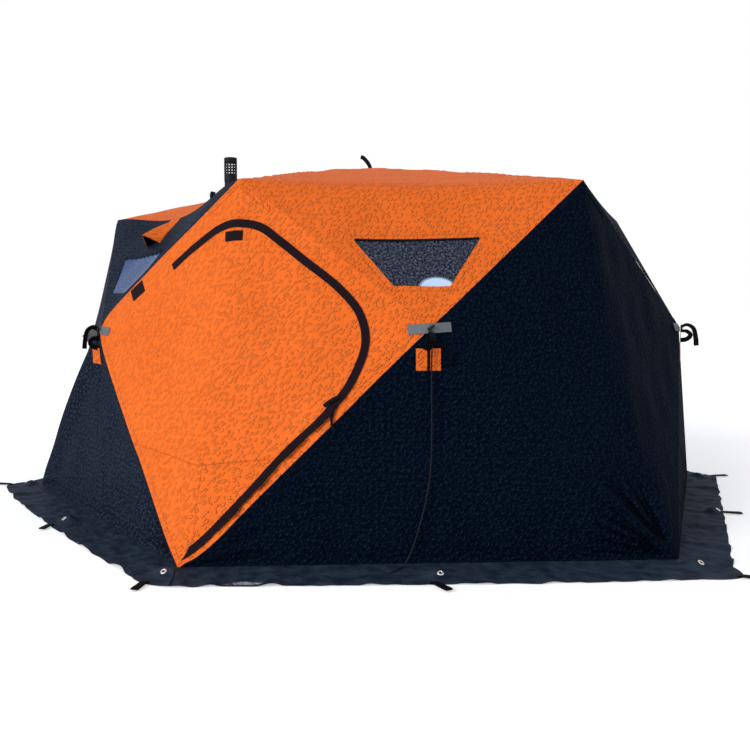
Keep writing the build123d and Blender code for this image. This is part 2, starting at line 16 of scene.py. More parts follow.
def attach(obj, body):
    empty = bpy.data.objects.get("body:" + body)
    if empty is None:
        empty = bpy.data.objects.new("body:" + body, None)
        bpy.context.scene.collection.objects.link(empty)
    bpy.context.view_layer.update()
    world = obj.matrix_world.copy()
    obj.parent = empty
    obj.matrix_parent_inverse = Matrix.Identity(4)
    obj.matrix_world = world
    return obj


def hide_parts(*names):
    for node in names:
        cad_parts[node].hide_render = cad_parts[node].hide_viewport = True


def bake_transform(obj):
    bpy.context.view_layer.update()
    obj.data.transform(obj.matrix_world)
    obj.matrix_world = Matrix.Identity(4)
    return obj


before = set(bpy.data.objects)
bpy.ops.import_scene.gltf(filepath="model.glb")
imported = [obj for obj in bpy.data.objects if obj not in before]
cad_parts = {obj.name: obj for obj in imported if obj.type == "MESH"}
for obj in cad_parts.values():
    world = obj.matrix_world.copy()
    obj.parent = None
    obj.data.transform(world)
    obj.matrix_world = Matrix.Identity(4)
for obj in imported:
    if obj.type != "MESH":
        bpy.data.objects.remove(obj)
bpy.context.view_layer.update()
scene = bpy.context.scene

# Camera at the photograph's viewpoint, for a square picture
EYE = (-0.7303, -5.1447, 1.0087)
YAW = 0.0392
PITCH = -0.0581
ROLL = -0.0042
LENS = 37.62
SHIFT = 0.1133


def added(name, data):
    made = bpy.data.objects.new(name, data)
    scene.collection.objects.link(made)
    return made


camera_data = bpy.data.cameras.new("viewpoint")
camera_data.lens = LENS
camera_data.sensor_width = 36
camera_data.shift_x = SHIFT
camera = added("viewpoint", camera_data)
turn = Matrix.Rotation(-YAW, 4, "Z") @ Matrix.Rotation(math.pi / 2 + PITCH, 4, "X")
camera.matrix_world = Matrix.Translation(EYE) @ turn @ Matrix.Rotation(ROLL, 4, "Z")
scene.camera = camera
scene.view_settings.view_transform = "Standard"

# The tent's outline, on the outer face of the cloth
SIDES = 6
FOOT_RADIUS = 2.160
EAVE_RADIUS = 1.638
EAVE_HEIGHT = 1.715
HUB_RADIUS = 1.822
HUB_HEIGHT = 1.011
ROOF_HEIGHT = 2.055
WALL_NAMES = ["front", "front_right", "back_right", "back", "back_left", "front_left"]
CORNER_NAMES = ["front_left", "front_right", "right", "back_right", "back_left", "left"]
ORANGE_WALLS = [0, 3]
VENT_WALLS = [5, 2]
# The side whose black cloth is a paler copy, as painted sheen where the light grazes it
PAINTED_SHEEN_SIDE = 5
ROPE_WALL = 0
DOOR_CORNER = 0

# The cloth: its thickness, the net it is spread in, and how far it gives way at each eave and corner
CLOTH = 0.003
NET = 0.017
ROOF_NET = 0.024
NARROW_HEM = 0.011
EAVE_SAG = [0.024, 0.006, 0.100, 0.030, 0.020, 0.100]
EAVE_HOLD = [1.1, 1.1, 2.0, 1.1, 1.1, 2.0]
EAVE_ROUND = [0.017, 0.003, 0.002, 0.017, 0.017, 0.0]
CORNER_SAG = [0.042, 0.045, 0.050, 0.045, 0.050, 0.045]
CORNER_HOLD = 1.1
CORNER_ROUND = 0.010
ROUND_REACH = 0.11
WALL_SLACK = 0.012
ROOF_BOW = [0.010, 0.006, 0.006, 0.008, 0.006, 0.0]
RIPPLE = 0.0016
ROOF_RIPPLE = 0.0007
RIPPLE_FADE = 0.14
CREASE_FADE = 0.030
DRIFT_REACH = 0.16
DRIFT_FADE = 0.06
JOIN_LEVEL = 0.455
STITCH_ROW = 0.015
UP = np.array([0.0, 0.0, 1.0])


def linear(hex_colour):
    """The linear colour of an sRGB hex value."""
    channels = [int(hex_colour[at : at + 2], 16) / 255 for at in (1, 3, 5)]
    return [c / 12.92 if c <= 0.04045 else ((c + 0.055) / 1.055) ** 2.4 for c in channels] + [1.0]


def put(tree, kind, inputs=None, out=0, **settings):
    """Adds a node with its settings and inputs, as values or sockets to link, and gives one output."""
    made = tree.nodes.new("ShaderNode" + kind)
    for name, value in settings.items():
        setattr(made, name, value)
    for name, value in (inputs or {}).items():
        if isinstance(value, bpy.types.NodeSocket):
            tree.links.new(value, made.inputs[name])
        else:
            made.inputs[name].default_value = value
    return made.outputs[out] if made.outputs else None


COLOURS = {"out": 2, "data_type": "RGBA"}


def blank(name):
    made = bpy.data.materials.new(name)
    made.use_nodes = True
    made.node_tree.nodes.clear()
    return made, made.node_tree


def raised_strokes(tree, cut, cell, slant, spread, length, width, share, shift):
    """Short raised strokes, one to a cell of the pattern: 1 along the middle of a stroke and 0 off it."""
    moved = put(tree, "VectorMath", {0: cut, 1: (shift, 0.7 * shift, 0)}, operation="ADD")
    pattern = {"Vector": moved, "Scale": 1 / cell, "Randomness": 0.8}
    cells = put(tree, "TexVoronoi", pattern, "Color", voronoi_dimensions="2D")
    local = put(tree, "VectorMath", {0: moved, 1: cells.node.outputs["Position"]}, operation="SUBTRACT")
    chance = put(tree, "SeparateColor", {"Color": cells})
    low, high = -math.radians(slant + spread), -math.radians(slant - spread)
    angle = put(tree, "MapRange", {"Value": chance, "To Min": low, "To Max": high})
    turned = put(tree, "VectorRotate", {"Vector": local, "Angle": angle}, rotation_type="Z_AXIS")
    along = put(tree, "SeparateXYZ", {"Vector": turned})
    upward = along.node.outputs[1]
    shape = []
    for axis, outer, inner in ((along, length / 2, length / 4), (upward, width / 2, width / 12)):
        off = put(tree, "Math", {0: axis}, operation="ABSOLUTE")
        limits = {"Value": off, "From Min": outer, "From Max": inner}
        shape.append(put(tree, "MapRange", limits, interpolation_type="SMOOTHSTEP"))
    kept = put(tree, "Math", {0: chance.node.outputs[1], 1: 1 - share}, operation="GREATER_THAN")
    stroke = put(tree, "Math", {0: shape[0], 1: shape[1]}, operation="MULTIPLY")
    return put(tree, "Math", {0: stroke, 1: kept}, operation="MULTIPLY")


def quilted_polyester(name, face, shade, groove, highlight_and_nap_colour, highlight_and_nap_share, fold, sheen, sheen_weight, specular, relief):
    """Coated polyester over wadding, embossed with short slanting ridges: matt, and paler on the ridges.

    Most ridges are 20 to 30 mm long and lean one way, and shorter ones of 15 mm cross them. The thread,
    0.5 mm, is too fine to show and is drawn at 4 mm. The paler ridges are a painted highlight, and the
    creases are painted darker, as painted shade for their sides shading each other.
    """
    made, tree = blank(name)
    cut = put(tree, "UVMap", uv_map="cut")
    leaning = raised_strokes(tree, cut, 0.027, 46, 14, 0.025, 0.0105, 0.90, 0.0)
    between = raised_strokes(tree, cut, 0.033, 40, 20, 0.020, 0.0100, 0.65, 0.37)
    crossing = raised_strokes(tree, cut, 0.032, 128, 26, 0.015, 0.0095, 0.40, 0.71)
    pair = put(tree, "Math", {0: leaning, 1: between}, operation="MAXIMUM")
    ridges = put(tree, "Math", {0: pair, 1: crossing}, operation="MAXIMUM")

    # A level join runs round the tent, and a row of stitching beside each sewn edge
    lines = []
    for mark, at, edge, strength in (("level", JOIN_LEVEL, 0.004, 0.4), ("hem", STITCH_ROW, 0.003, 0.28)):
        place = put(tree, "Attribute", out="Fac", attribute_name=mark)
        off = put(tree, "Math", {0: place, 1: at}, operation="SUBTRACT")
        gap = put(tree, "Math", {0: off}, operation="ABSOLUTE")
        limits = {"Value": gap, "From Min": edge, "From Max": 0.001, "To Max": strength}
        lines.append(put(tree, "MapRange", limits))
    sewn = put(tree, "Math", {0: lines[0], 1: lines[1]}, operation="MAXIMUM")

    thread = put(tree, "TexNoise", {"Vector": cut, "Scale": 250.0, "Detail": 2.0})
    puff = put(tree, "TexNoise", {"Vector": cut, "Scale": 22.0, "Detail": 3.0})
    soft = put(tree, "Math", {0: puff, 1: 0.6}, operation="MULTIPLY")
    fine = put(tree, "Math", {0: thread, 1: 0.08, 2: soft}, operation="MULTIPLY_ADD")
    raised = put(tree, "Math", {0: fine, 1: ridges}, operation="ADD")
    height = put(tree, "Math", {0: raised, 1: sewn}, operation="SUBTRACT")
    bump = put(tree, "Bump", {"Height": height, "Strength": 1.0, "Distance": relief})

    tone = put(tree, "TexNoise", {"Vector": cut, "Scale": 2.4, "Detail": 4.0})
    patchy = put(tree, "MapRange", {"Value": tone, "From Min": 0.35, "From Max": 0.7})
    plain = put(tree, "Mix", {0: patchy, 6: linear(face), 7: linear(shade)}, **COLOURS)
    # Painted highlight: the raised ridges are mixed towards a paler colour; the nap adds pale specks at
    # random
    nap = put(tree, "TexNoise", {"Vector": cut, "Scale": 75.0, "Detail": 3.0, "Roughness": 0.6})
    grain = put(tree, "MapRange", {"Value": nap, "From Min": 0.45, "From Max": 0.75, "To Max": 0.7 * highlight_and_nap_share})
    highlight_and_nap = put(tree, "Math", {0: ridges, 1: highlight_and_nap_share, 2: grain}, operation="MULTIPLY_ADD")
    highlighted = put(tree, "Mix", {0: highlight_and_nap, 6: plain, 7: linear(highlight_and_nap_colour)}, **COLOURS)
    stitched = put(tree, "Mix", {0: sewn, 6: highlighted, 7: linear(groove)}, **COLOURS)
    # Painted shade: the creases are mixed towards black, more the deeper they are
    crease = put(tree, "Attribute", out="Fac", attribute_name="crease")
    painted_crease_shade = put(tree, "MapRange", {"Value": crease, "From Min": 0.0042, "From Max": 0.010, "To Max": fold})
    dyed = put(tree, "Mix", {0: painted_crease_shade, 6: stitched, 7: (0, 0, 0, 1)}, **COLOURS)
    finish = {
        "Base Color": dyed,
        "Roughness": put(tree, "MapRange", {"Value": thread, "To Min": 0.52, "To Max": 0.7}),
        "Normal": bump,
        "Specular IOR Level": specular,
        "Sheen Weight": sheen_weight,
        "Sheen Roughness": 0.4,
        "Sheen Tint": linear(sheen),
    }
    put(tree, "OutputMaterial", {"Surface": put(tree, "BsdfPrincipled", finish)})
    return made


def coated_polyester(name, face, shade, dust, dust_from, roughness):
    """Plain woven polyester, thinly coated: close threads, soft crumples, pale dust and patches of frost.

    The weave, 0.5 mm, is drawn at 3 mm; the crumples are about 70 mm across, with finer ones in them.
    """
    made, tree = blank(name)
    cut = put(tree, "UVMap", uv_map="cut")
    weave = put(tree, "TexNoise", {"Vector": cut, "Scale": 330.0, "Detail": 1.0})
    crumple = put(tree, "TexNoise", {"Vector": cut, "Scale": 14.0, "Detail": 5.0})
    ridge = put(tree, "MapRange", {"Value": crumple, "From Min": 0.3, "From Max": 0.7})
    height = put(tree, "Math", {0: weave, 1: 0.06, 2: ridge}, operation="MULTIPLY_ADD")
    bump = put(tree, "Bump", {"Height": height, "Strength": 0.9, "Distance": 0.008})
    # Painted shade: the low parts of the crumples take the darker shade colour
    plain = put(tree, "Mix", {0: ridge, 6: linear(shade), 7: linear(face)}, **COLOURS)
    speck = put(tree, "TexNoise", {"Vector": cut, "Scale": 6.0, "Detail": 8.0, "Roughness": 0.7})
    dusty = put(tree, "MapRange", {"Value": speck, "From Min": dust_from, "From Max": dust_from + 0.12})
    dyed = put(tree, "Mix", {0: dusty, 6: plain, 7: linear(dust)}, **COLOURS)
    patch = put(tree, "Attribute", out="Fac", attribute_name="frost")
    flakes = put(tree, "TexNoise", {"Vector": cut, "Scale": 70.0, "Detail": 5.0, "Roughness": 0.75})
    both = put(tree, "Math", {0: patch, 1: flakes}, operation="MULTIPLY")
    frosted = put(tree, "MapRange", {"Value": both, "From Min": 0.34, "From Max": 0.46})
    shown = put(tree, "Mix", {0: frosted, 6: dyed, 7: linear("#A9B2BA")}, **COLOURS)
    finish = {"Base Color": shown, "Roughness": roughness, "Normal": bump, "Specular IOR Level": 0.02}
    put(tree, "OutputMaterial", {"Surface": put(tree, "BsdfPrincipled", finish)})
    return made


def nylon_webbing(name, face, shade, pitch):
    """Woven nylon webbing: ribs across it that catch the light, drawn coarser than the real 1 mm ones."""
    made, tree = blank(name)
    cut = put(tree, "UVMap", uv_map="cut")
    ribs = {"Vector": cut, "Scale": 0.314 / pitch, "Distortion": 0.3, "Detail": 1.0}
    rib = put(tree, "TexWave", ribs, "Fac", bands_direction="X")
    fluff = put(tree, "TexNoise", {"Vector": cut, "Scale": 300.0, "Detail": 2.0})
    height = put(tree, "Math", {0: fluff, 1: 0.4, 2: rib}, operation="MULTIPLY_ADD")
    bump = put(tree, "Bump", {"Height": height, "Strength": 0.5, "Distance": 0.001})
    dyed = put(tree, "Mix", {0: fluff, 6: linear(face), 7: linear(shade)}, **COLOURS)
    finish = {"Base Color": dyed, "Roughness": 0.6, "Normal": bump, "Specular IOR Level": 0.05}
    put(tree, "OutputMaterial", {"Surface": put(tree, "BsdfPrincipled", finish)})
    return made


def knotted_netting(name):
    """Fine black polyester netting: dark threads with air between, drawn at 5 mm for the real 1.5 mm."""
    made, tree = blank(name)
    cut = put(tree, "UVMap", uv_map="cut")
    wefts = put(tree, "TexWave", {"Vector": cut, "Scale": 0.314 / 0.005}, "Fac", bands_direction="X")
    warps = put(tree, "TexWave", {"Vector": cut, "Scale": 0.314 / 0.005}, "Fac", bands_direction="Y")
    threads = put(tree, "Math", {0: wefts, 1: warps}, operation="MAXIMUM")
    filled = put(tree, "MapRange", {"Value": threads, "From Min": 0.55, "From Max": 0.75})
    fuzz = put(tree, "TexNoise", {"Vector": cut, "Scale": 200.0})
    dyed = put(tree, "Mix", {0: fuzz, 6: linear("#0D0E13"), 7: linear("#1A1C23")}, **COLOURS)
    finish = {"Base Color": dyed, "Roughness": 0.7, "Alpha": filled, "Specular IOR Level": 0.2}
    put(tree, "OutputMaterial", {"Surface": put(tree, "BsdfPrincipled", finish)})
    return made


def glass_bead_tape(name):
    """Reflective tape: glass beads, drawn at 2.5 mm, on grey cloth: pale, dull and slightly silvery."""
    made, tree = blank(name)
    cut = put(tree, "UVMap", uv_map="cut")
    bead = put(tree, "TexNoise", {"Vector": cut, "Scale": 400.0, "Detail": 2.0})
    smear = put(tree, "TexNoise", {"Vector": cut, "Scale": 25.0, "Detail": 3.0})
    finish = {
        "Base Color": put(tree, "Mix", {0: smear, 6: linear("#5E6367"), 7: linear("#6C7076")}, **COLOURS),
        "Metallic": 0.2,
        "Roughness": 0.55,
        "Normal": put(tree, "Bump", {"Height": bead, "Strength": 0.2, "Distance": 0.0005}),
        "Specular IOR Level": 0.2,
    }
    put(tree, "OutputMaterial", {"Surface": put(tree, "BsdfPrincipled", finish)})
    return made


def clear_vinyl(name):
    """Clear vinyl film, cast smooth and since gone hazy: blue with haze, and speckled.

    The gathered panes are bluer, with a painted sky reflection over their haze, and a pale dome low on the
    front pane is a painted patch of light. The specks, 2 mm and less, are drawn at 12 mm.
    """
    made, tree = blank(name)
    cut = put(tree, "UVMap", uv_map="cut")
    wave = put(tree, "TexNoise", {"Vector": cut, "Scale": 45.0, "Detail": 4.0})
    speck = put(tree, "TexNoise", {"Vector": cut, "Scale": 85.0, "Detail": 5.0, "Roughness": 0.75})
    specked = put(tree, "MapRange", {"Value": speck, "From Min": 0.44, "From Max": 0.70})
    haze = put(tree, "Mix", {0: specked, 6: linear("#2A3149"), 7: linear("#A0AAC6")}, **COLOURS)
    # Painted sky reflection: the gathered panes are mixed towards blue, over their haze
    haze_and_sky_reflection = put(tree, "Attribute", out="Fac", attribute_name="haze_and_sky_reflection")
    hazed_with_sky_reflection = put(tree, "Mix", {0: specked, 6: linear("#1B3762"), 7: linear("#5877AC")}, **COLOURS)
    film = put(tree, "Mix", {0: haze_and_sky_reflection, 6: haze, 7: hazed_with_sky_reflection}, **COLOURS)
    # Painted light: a pale patch low on the front pane
    patch = put(tree, "Attribute", out="Fac", attribute_name="far_light_patch")
    far_lit = put(tree, "MapRange", {"Value": patch, "From Min": 0.40, "From Max": 0.55})
    veil = put(tree, "Math", {0: haze_and_sky_reflection, 1: 0.85}, operation="MULTIPLY")
    covered = put(tree, "Math", {0: far_lit, 1: veil}, operation="MAXIMUM")
    thin = put(tree, "MapRange", {"Value": specked, "To Min": 0.82, "To Max": 0.55})
    bare = put(tree, "Math", {0: 1.0, 1: covered}, operation="SUBTRACT")
    finish = {
        "Base Color": put(tree, "Mix", {0: far_lit, 6: film, 7: linear("#C3DAF5")}, **COLOURS),
        "Roughness": 0.08,
        "IOR": 1.2,
        "Specular IOR Level": 0.12,
        "Transmission Weight": put(tree, "Math", {0: thin, 1: bare}, operation="MULTIPLY"),
        "Sheen Weight": 0.08,
        "Sheen Roughness": 0.4,
        "Sheen Tint": linear("#6E90D8"),
        "Normal": put(tree, "Bump", {"Height": wave, "Strength": 0.25, "Distance": 0.004}),
    }
    put(tree, "OutputMaterial", {"Surface": put(tree, "BsdfPrincipled", finish)})
    return made


def smooth_finish(name, face, shade, roughness, metallic, grain, depth, specular):
    """A moulded, painted or plated surface: an even colour with a fine grain in its gloss.

    The grain's size is in millimetres, and it is coarser than the real one so that it shows.
    """
    made, tree = blank(name)
    place = put(tree, "TexCoord", out="Object")
    fine = put(tree, "TexNoise", {"Vector": place, "Scale": 1000 / grain, "Detail": 3.0})
    broad = put(tree, "TexNoise", {"Vector": place, "Scale": 12.0, "Detail": 3.0})
    gloss = {"Value": fine, "To Min": roughness - 0.08, "To Max": roughness + 0.08}
    finish = {
        "Base Color": put(tree, "Mix", {0: broad, 6: linear(face), 7: linear(shade)}, **COLOURS),
        "Metallic": metallic,
        "Roughness": put(tree, "MapRange", gloss),
        "Normal": put(tree, "Bump", {"Height": fine, "Strength": 0.3, "Distance": depth}),
        "Specular IOR Level": specular,
    }
    put(tree, "OutputMaterial", {"Surface": put(tree, "BsdfPrincipled", finish)})
    return made


ORANGE = quilted_polyester(
    "orange_quilted_polyester",
    face="#EB6A22",
    shade="#E3641C",
    groove="#B9521A",
    highlight_and_nap_colour="#FA8B48",
    highlight_and_nap_share=0.40,
    fold=0.3,
    sheen="#FFB48A",
    sheen_weight=0.02,
    specular=0.06,
    relief=0.006,
)
BLACK = quilted_polyester(
    "black_quilted_polyester",
    face="#040A16",
    shade="#020711",
    groove="#172738",
    highlight_and_nap_colour="#182C43",
    highlight_and_nap_share=0.58,
    fold=0.7,
    sheen="#3C5890",
    sheen_weight=0.0,
    specular=0.01,
    relief=0.011,
)
# A copy of the black cloth painted paler and bluer: painted sheen on the left side, where the light grazes
# it
PAINTED_SHEEN_BLACK = quilted_polyester(
    "painted_sheen_black_quilted_polyester",
    face="#0A111C",
    shade="#080D17",
    groove="#2E394D",
    highlight_and_nap_colour="#3A475E",
    highlight_and_nap_share=0.75,
    fold=0.6,
    sheen="#6E86C0",
    sheen_weight=0.02,
    specular=0.02,
    relief=0.01,
)
LINING = coated_polyester("dark_polyester_lining", "#2E3443", "#1F2430", "#4A5160", 0.62, 0.5)
SKIRT_CLOTH = coated_polyester("slate_coated_polyester", "#333D4C", "#172231", "#59616A", 0.74, 0.6)
WEBBING = nylon_webbing("black_nylon_webbing", "#08090C", "#0E0F13", 0.004)
FLAP_CLOTH = nylon_webbing("brown_black_polyester_flap", "#130A11", "#1A0F16", 0.005)
TAPE = glass_bead_tape("grey_glass_bead_tape")
VINYL = clear_vinyl("clear_cast_vinyl")
NETTING = knotted_netting("black_polyester_netting")
FIBREGLASS = smooth_finish("pultruded_fibreglass", "#17181B", "#202226", 0.35, 0.0, 4.0, 0.0003, 0.4)
NYLON = smooth_finish("moulded_black_nylon", "#0E0F12", "#16171B", 0.55, 0.0, 3.0, 0.0004, 0.3)
ROPE_NYLON = smooth_finish("braided_black_nylon", "#0A0B0F", "#121319", 0.6, 0.0, 3.0, 0.0006, 0.2)
HEAT_PAINT = smooth_finish(
    "matt_black_heat_paint_on_steel", "#0B0D17", "#131621", 0.55, 0.0, 3.0, 0.0003, 0.15
)
PLATED = smooth_finish("nickel_plated_steel", "#D8D6D0", "#BDBBB6", 0.25, 1.0, 4.0, 0.0002, 0.5)
SILICONE = smooth_finish("moulded_black_silicone", "#15161A", "#1D1E23", 0.6, 0.0, 5.0, 0.0004, 0.3)


def unit(vector):
    return vector / np.linalg.norm(vector)


def ring(radius, degrees, height):
    at = math.radians(degrees)
    return np.array([radius * math.cos(at), radius * math.sin(at), height])


def wall_angle(wall):
    return -90 + 60 * wall


def corner_angle(corner):
    return wall_angle(corner) - 30


def foot(corner):
    return ring(FOOT_RADIUS, corner_angle(corner), 0)


def eave(corner):
    return ring(EAVE_RADIUS, corner_angle(corner), EAVE_HEIGHT)


def hub(wall):
    return ring(HUB_RADIUS, wall_angle(wall), HUB_HEIGHT)


def smooth_line(points, step):
    """A smooth line through some points, with a point about every step."""
    knots = np.asarray(points, float)
    knots = np.concatenate([[2 * knots[0] - knots[1]], knots, [2 * knots[-1] - knots[-2]]])
    found = []
    for a, b, c, d in zip(knots, knots[1:], knots[2:], knots[3:]):
        first = math.sqrt(np.linalg.norm(b - a))
        second = first + math.sqrt(np.linalg.norm(c - b))
        third = second + math.sqrt(np.linalg.norm(d - c))
        count = max(2, math.ceil(np.linalg.norm(c - b) / step))
        at = np.linspace(first, second, count, endpoint=False)[:, None]
        ab = ((first - at) * a + at * b) / first
        bc = ((second - at) * b + (at - first) * c) / (second - first)
        cd = ((third - at) * c + (at - second) * d) / (third - second)
        abc = ((second - at) * ab + at * bc) / second
        bcd = ((third - at) * bc + (at - first) * cd) / (third - first)
        found.append(((second - at) * abc + (at - first) * bcd) / (second - first))
    return np.concatenate(found + [knots[-2:-1]])


ROOF_TOP = np.array([0.0, 0.0, ROOF_HEIGHT])
CENTRE = np.array([0.0, 0.0, 1.0])


def ease(low, high, value):
    share = np.clip((value - low) / (high - low), 0, 1)
    return share * share * (3 - 2 * share)


class Facet:
    """One flat triangle of the outline: from its tip, a hub or the roof's top, out to its free edge."""

    def __init__(self, tip, first, second):
        self.tip = tip
        self.first = first
        self.second = second
        out = unit(np.cross(first - tip, second - tip))
        self.out = out if out @ (tip - CENTRE) > 0 else -out
        side = unit(second - first)
        leg = tip - first
        self.depth = np.linalg.norm(leg - side * (leg @ side))
        self.slide = np.zeros(3)
        self.sag = 0.0
        self.hold = 1.0
        self.round = 0.0
        self.bow = 0.0

    def give(self, flat):
        """How far the cloth has moved off the flat triangle at some of its points."""
        legs = np.stack([self.first - self.tip, self.second - self.tip], 1)
        first, second = np.linalg.lstsq(legs, (flat - self.tip).T, rcond=None)[0]
        reach = np.clip(first + second, 1e-6, 1)
        run = np.clip(second / reach, 0, 1)
        span = 4 * run * (1 - run)
        near = np.clip(1 - (1 - reach) * self.depth / ROUND_REACH, 0, 1)
        fall = self.sag * span**self.hold * reach**3 + self.round * span**0.7 * near**2
        slack = WALL_SLACK * 27 * np.clip((1 - reach) * first * second, 0, 1)
        bow = self.bow * 4 * reach * (1 - reach)
        return fall[:, None] * self.slide - slack[:, None] * self.out + bow[:, None] * UP


FACETS = {}
for wall in range(SIDES):
    after = (wall + 1) % SIDES
    FACETS["roof", wall] = Facet(ROOF_TOP, eave(wall), eave(after))
    FACETS["upper", wall] = Facet(hub(wall), eave(wall), eave(after))
    FACETS["lower", wall] = Facet(hub(wall), foot(wall), foot(after))
    FACETS["left", wall] = Facet(hub(wall), foot(wall), eave(wall))
    FACETS["right", wall] = Facet(hub(wall), foot(after), eave(after))
for wall in range(SIDES):
    before = (wall - 1) % SIDES
    for pair, sag, hold, soft in (
        ((("roof", wall), ("upper", wall)), EAVE_SAG[wall], EAVE_HOLD[wall], EAVE_ROUND[wall]),
        ((("left", wall), ("right", before)), CORNER_SAG[wall], CORNER_HOLD, CORNER_ROUND),
    ):
        inward = -unit(FACETS[pair[0]].out + FACETS[pair[1]].out)
        for key in pair:
            FACETS[key].slide = inward
            FACETS[key].sag = sag
            FACETS[key].hold = hold
            FACETS[key].round = soft
    FACETS["roof", wall].bow = ROOF_BOW[wall]

# Seams that bow as their poles do: the start and end of each, the way it bows, shares of its run, how far
SEAM_BOWS = [
    (
        hub(0),
        foot(0),
        hub(0) - eave(0),
        [0, 0.2, 0.36, 0.55, 0.74, 0.86, 0.93, 1],
        [0, 0.002, 0.008, 0.0135, 0.0185, 0.026, 0.020, 0],
    ),
    (
        hub(5),
        foot(0),
        hub(5) - eave(0),
        [0, 0.05, 0.12, 0.2, 0.5, 0.6, 0.9, 1],
        [0, 0.022, 0.030, 0.0315, 0.025, 0.018, 0.011, 0],
    ),
    (
        hub(5),
        eave(0),
        hub(5) - foot(0),
        [0, 0.05, 0.12, 0.2, 0.36, 0.5, 0.75, 1],
        [0, 0.030, 0.039, 0.0395, 0.034, 0.029, 0.012, 0],
    ),
    (
        hub(5),
        foot(5),
        FACETS["lower", 5].out + FACETS["left", 5].out,
        [0, 0.1, 0.25, 0.45, 0.58, 0.7, 0.9, 1],
        [0, 0.018, 0.030, 0.032, 0.027, 0.018, 0.011, 0],
    ),
]
DRIFTS = []
for start, end, towards, shares, bows in SEAM_BOWS:
    seam = end - start
    across = unit(towards - seam * (towards @ seam) / (seam @ seam))
    DRIFTS.append((start, seam, across, smooth_line(list(zip(shares, bows)), 0.02)))


def drifted(flat):
    """How far the bowed seams carry the cloth along with them; at the ground it stays where it is."""
    moved = np.zeros_like(flat)
    for start, seam, across, steps in DRIFTS:
        share = np.clip((flat - start) @ seam / (seam @ seam), 0, 1)
        gap = np.linalg.norm(flat - start - share[:, None] * seam, axis=1)
        amount = np.interp(share, steps[:, 0], steps[:, 1]) * (1 - ease(0, DRIFT_REACH, gap))
        moved += (amount * ease(0, DRIFT_FADE, flat[:, 2]))[:, None] * across
    return moved


def gap_to(points, sides):
    """How far each plane point is from the nearest of some straight sides."""
    best = np.full(len(points), np.inf)
    for start, end in sides:
        side = end - start
        share = np.clip((points - start) @ side / (side @ side), 0, 1)
        best = np.minimum(best, np.linalg.norm(points - start - share[:, None] * side, axis=1))
    return best


def sides_of(ring_points):
    start = np.asarray(ring_points, float)
    return list(zip(start, np.roll(start, -1, 0)))


def within(points, ring_points):
    inside = np.zeros(len(points), bool)
    for (ax, ay), (bx, by) in sides_of(ring_points):
        crosses = (ay > points[:, 1]) != (by > points[:, 1])
        rise = by - ay if by != ay else 1e-12
        inside ^= crosses & (points[:, 0] < ax + (points[:, 1] - ay) * (bx - ax) / rise)
    return inside


class Cut:
    """A flat cut of the skin: one facet or more that share plane coordinates."""

    def __init__(self, sides, outline, choose, seed):
        self.sides = sides
        self.outline = np.asarray(outline, float)
        self.choose = choose
        self.creases = []
        self.ripple = RIPPLE
        chance = np.random.default_rng(seed)
        angles = chance.uniform(0, math.pi, 6)
        self.waves = 2 * math.pi / chance.uniform(0.16, 0.55, 6)
        self.turns = np.stack([np.cos(angles), np.sin(angles)])
        self.starts = chance.uniform(0, 2 * math.pi, 6)

    def creased(self, points):
        """How deep the creases are; they die out towards the seams."""
        total = np.zeros(len(points))
        for ax, ay, bx, by, width, deep in self.creases:
            start = np.array([ax, ay])
            side = np.array([bx, by]) - start
            held = np.clip((points - start) @ side / (side @ side), 0, 1)
            off = np.linalg.norm(points - start - held[:, None] * side, axis=1)
            total += deep * np.exp(-((off / width) ** 2)) * (1 - (2 * held - 1) ** 4 * 0.9)
        return total * ease(0.0, CREASE_FADE, gap_to(points, sides_of(self.outline)))

    def depth(self, points):
        """How deep the ripples and creases are together."""
        calm = ease(0.0, RIPPLE_FADE, gap_to(points, sides_of(self.outline)))
        waves = np.sin(points @ self.turns * self.waves + self.starts).sum(1)
        return self.ripple * waves * calm + self.creased(points)

    def outward(self, points):
        return np.array([self.sides[index][0].out for index in self.choose(points)])

    def place(self, points, lift=0.0):
        points = np.asarray(points, float)
        chosen = self.choose(points)
        placed = np.zeros((len(points), 3))
        for index, (facet, origin, along, up) in enumerate(self.sides):
            mine = chosen == index
            if mine.any():
                flat = origin + points[mine, :1] * along + points[mine, 1:] * up
                placed[mine] = flat + facet.give(flat) + drifted(flat)
        raised = lift - self.depth(points)
        return placed + raised[:, None] * self.outward(points)


def wall_cut(kind, wall):
    """One wall's upper or lower panel: x along the wall from its hub, y up the cloth."""
    facet = FACETS[kind, wall]
    along = unit(facet.second - facet.first)
    up = np.cross(facet.out, along)
    reaches = [p - facet.tip for p in (facet.tip, facet.first, facet.second)]
    outline = [(reach @ along, reach @ up) for reach in reaches]
    return Cut([(facet, facet.tip, along, up)], outline, lambda p: np.zeros(len(p), int), 10 + wall)


class CornerCut(Cut):
    """A corner laid out flat: x across from its edge, to the right seen from outside, and y up along it."""

    def __init__(self, corner):
        base = foot(corner)
        up = unit(eave(corner) - base)
        self.length = np.linalg.norm(eave(corner) - base)
        sides = []
        hubs = []
        for facet, sign in ((FACETS["right", (corner - 1) % SIDES], -1), (FACETS["left", corner], 1)):
            reach = facet.tip - base
            across = unit(reach - up * (reach @ up))
            sides.append((facet, base, sign * across, up))
            hubs.append((sign * (reach @ across), reach @ up))
        outline = [(0, 0), hubs[1], (0, self.length), hubs[0]]
        super().__init__(sides, outline, lambda p: (p[:, 0] >= 0).astype(int), 30 + corner)

    def outward(self, points):
        blend = ease(-0.04, 0.04, points[:, :1])
        mixed = (1 - blend) * self.sides[0][0].out + blend * self.sides[1][0].out
        return mixed / np.linalg.norm(mixed, axis=1)[:, None]


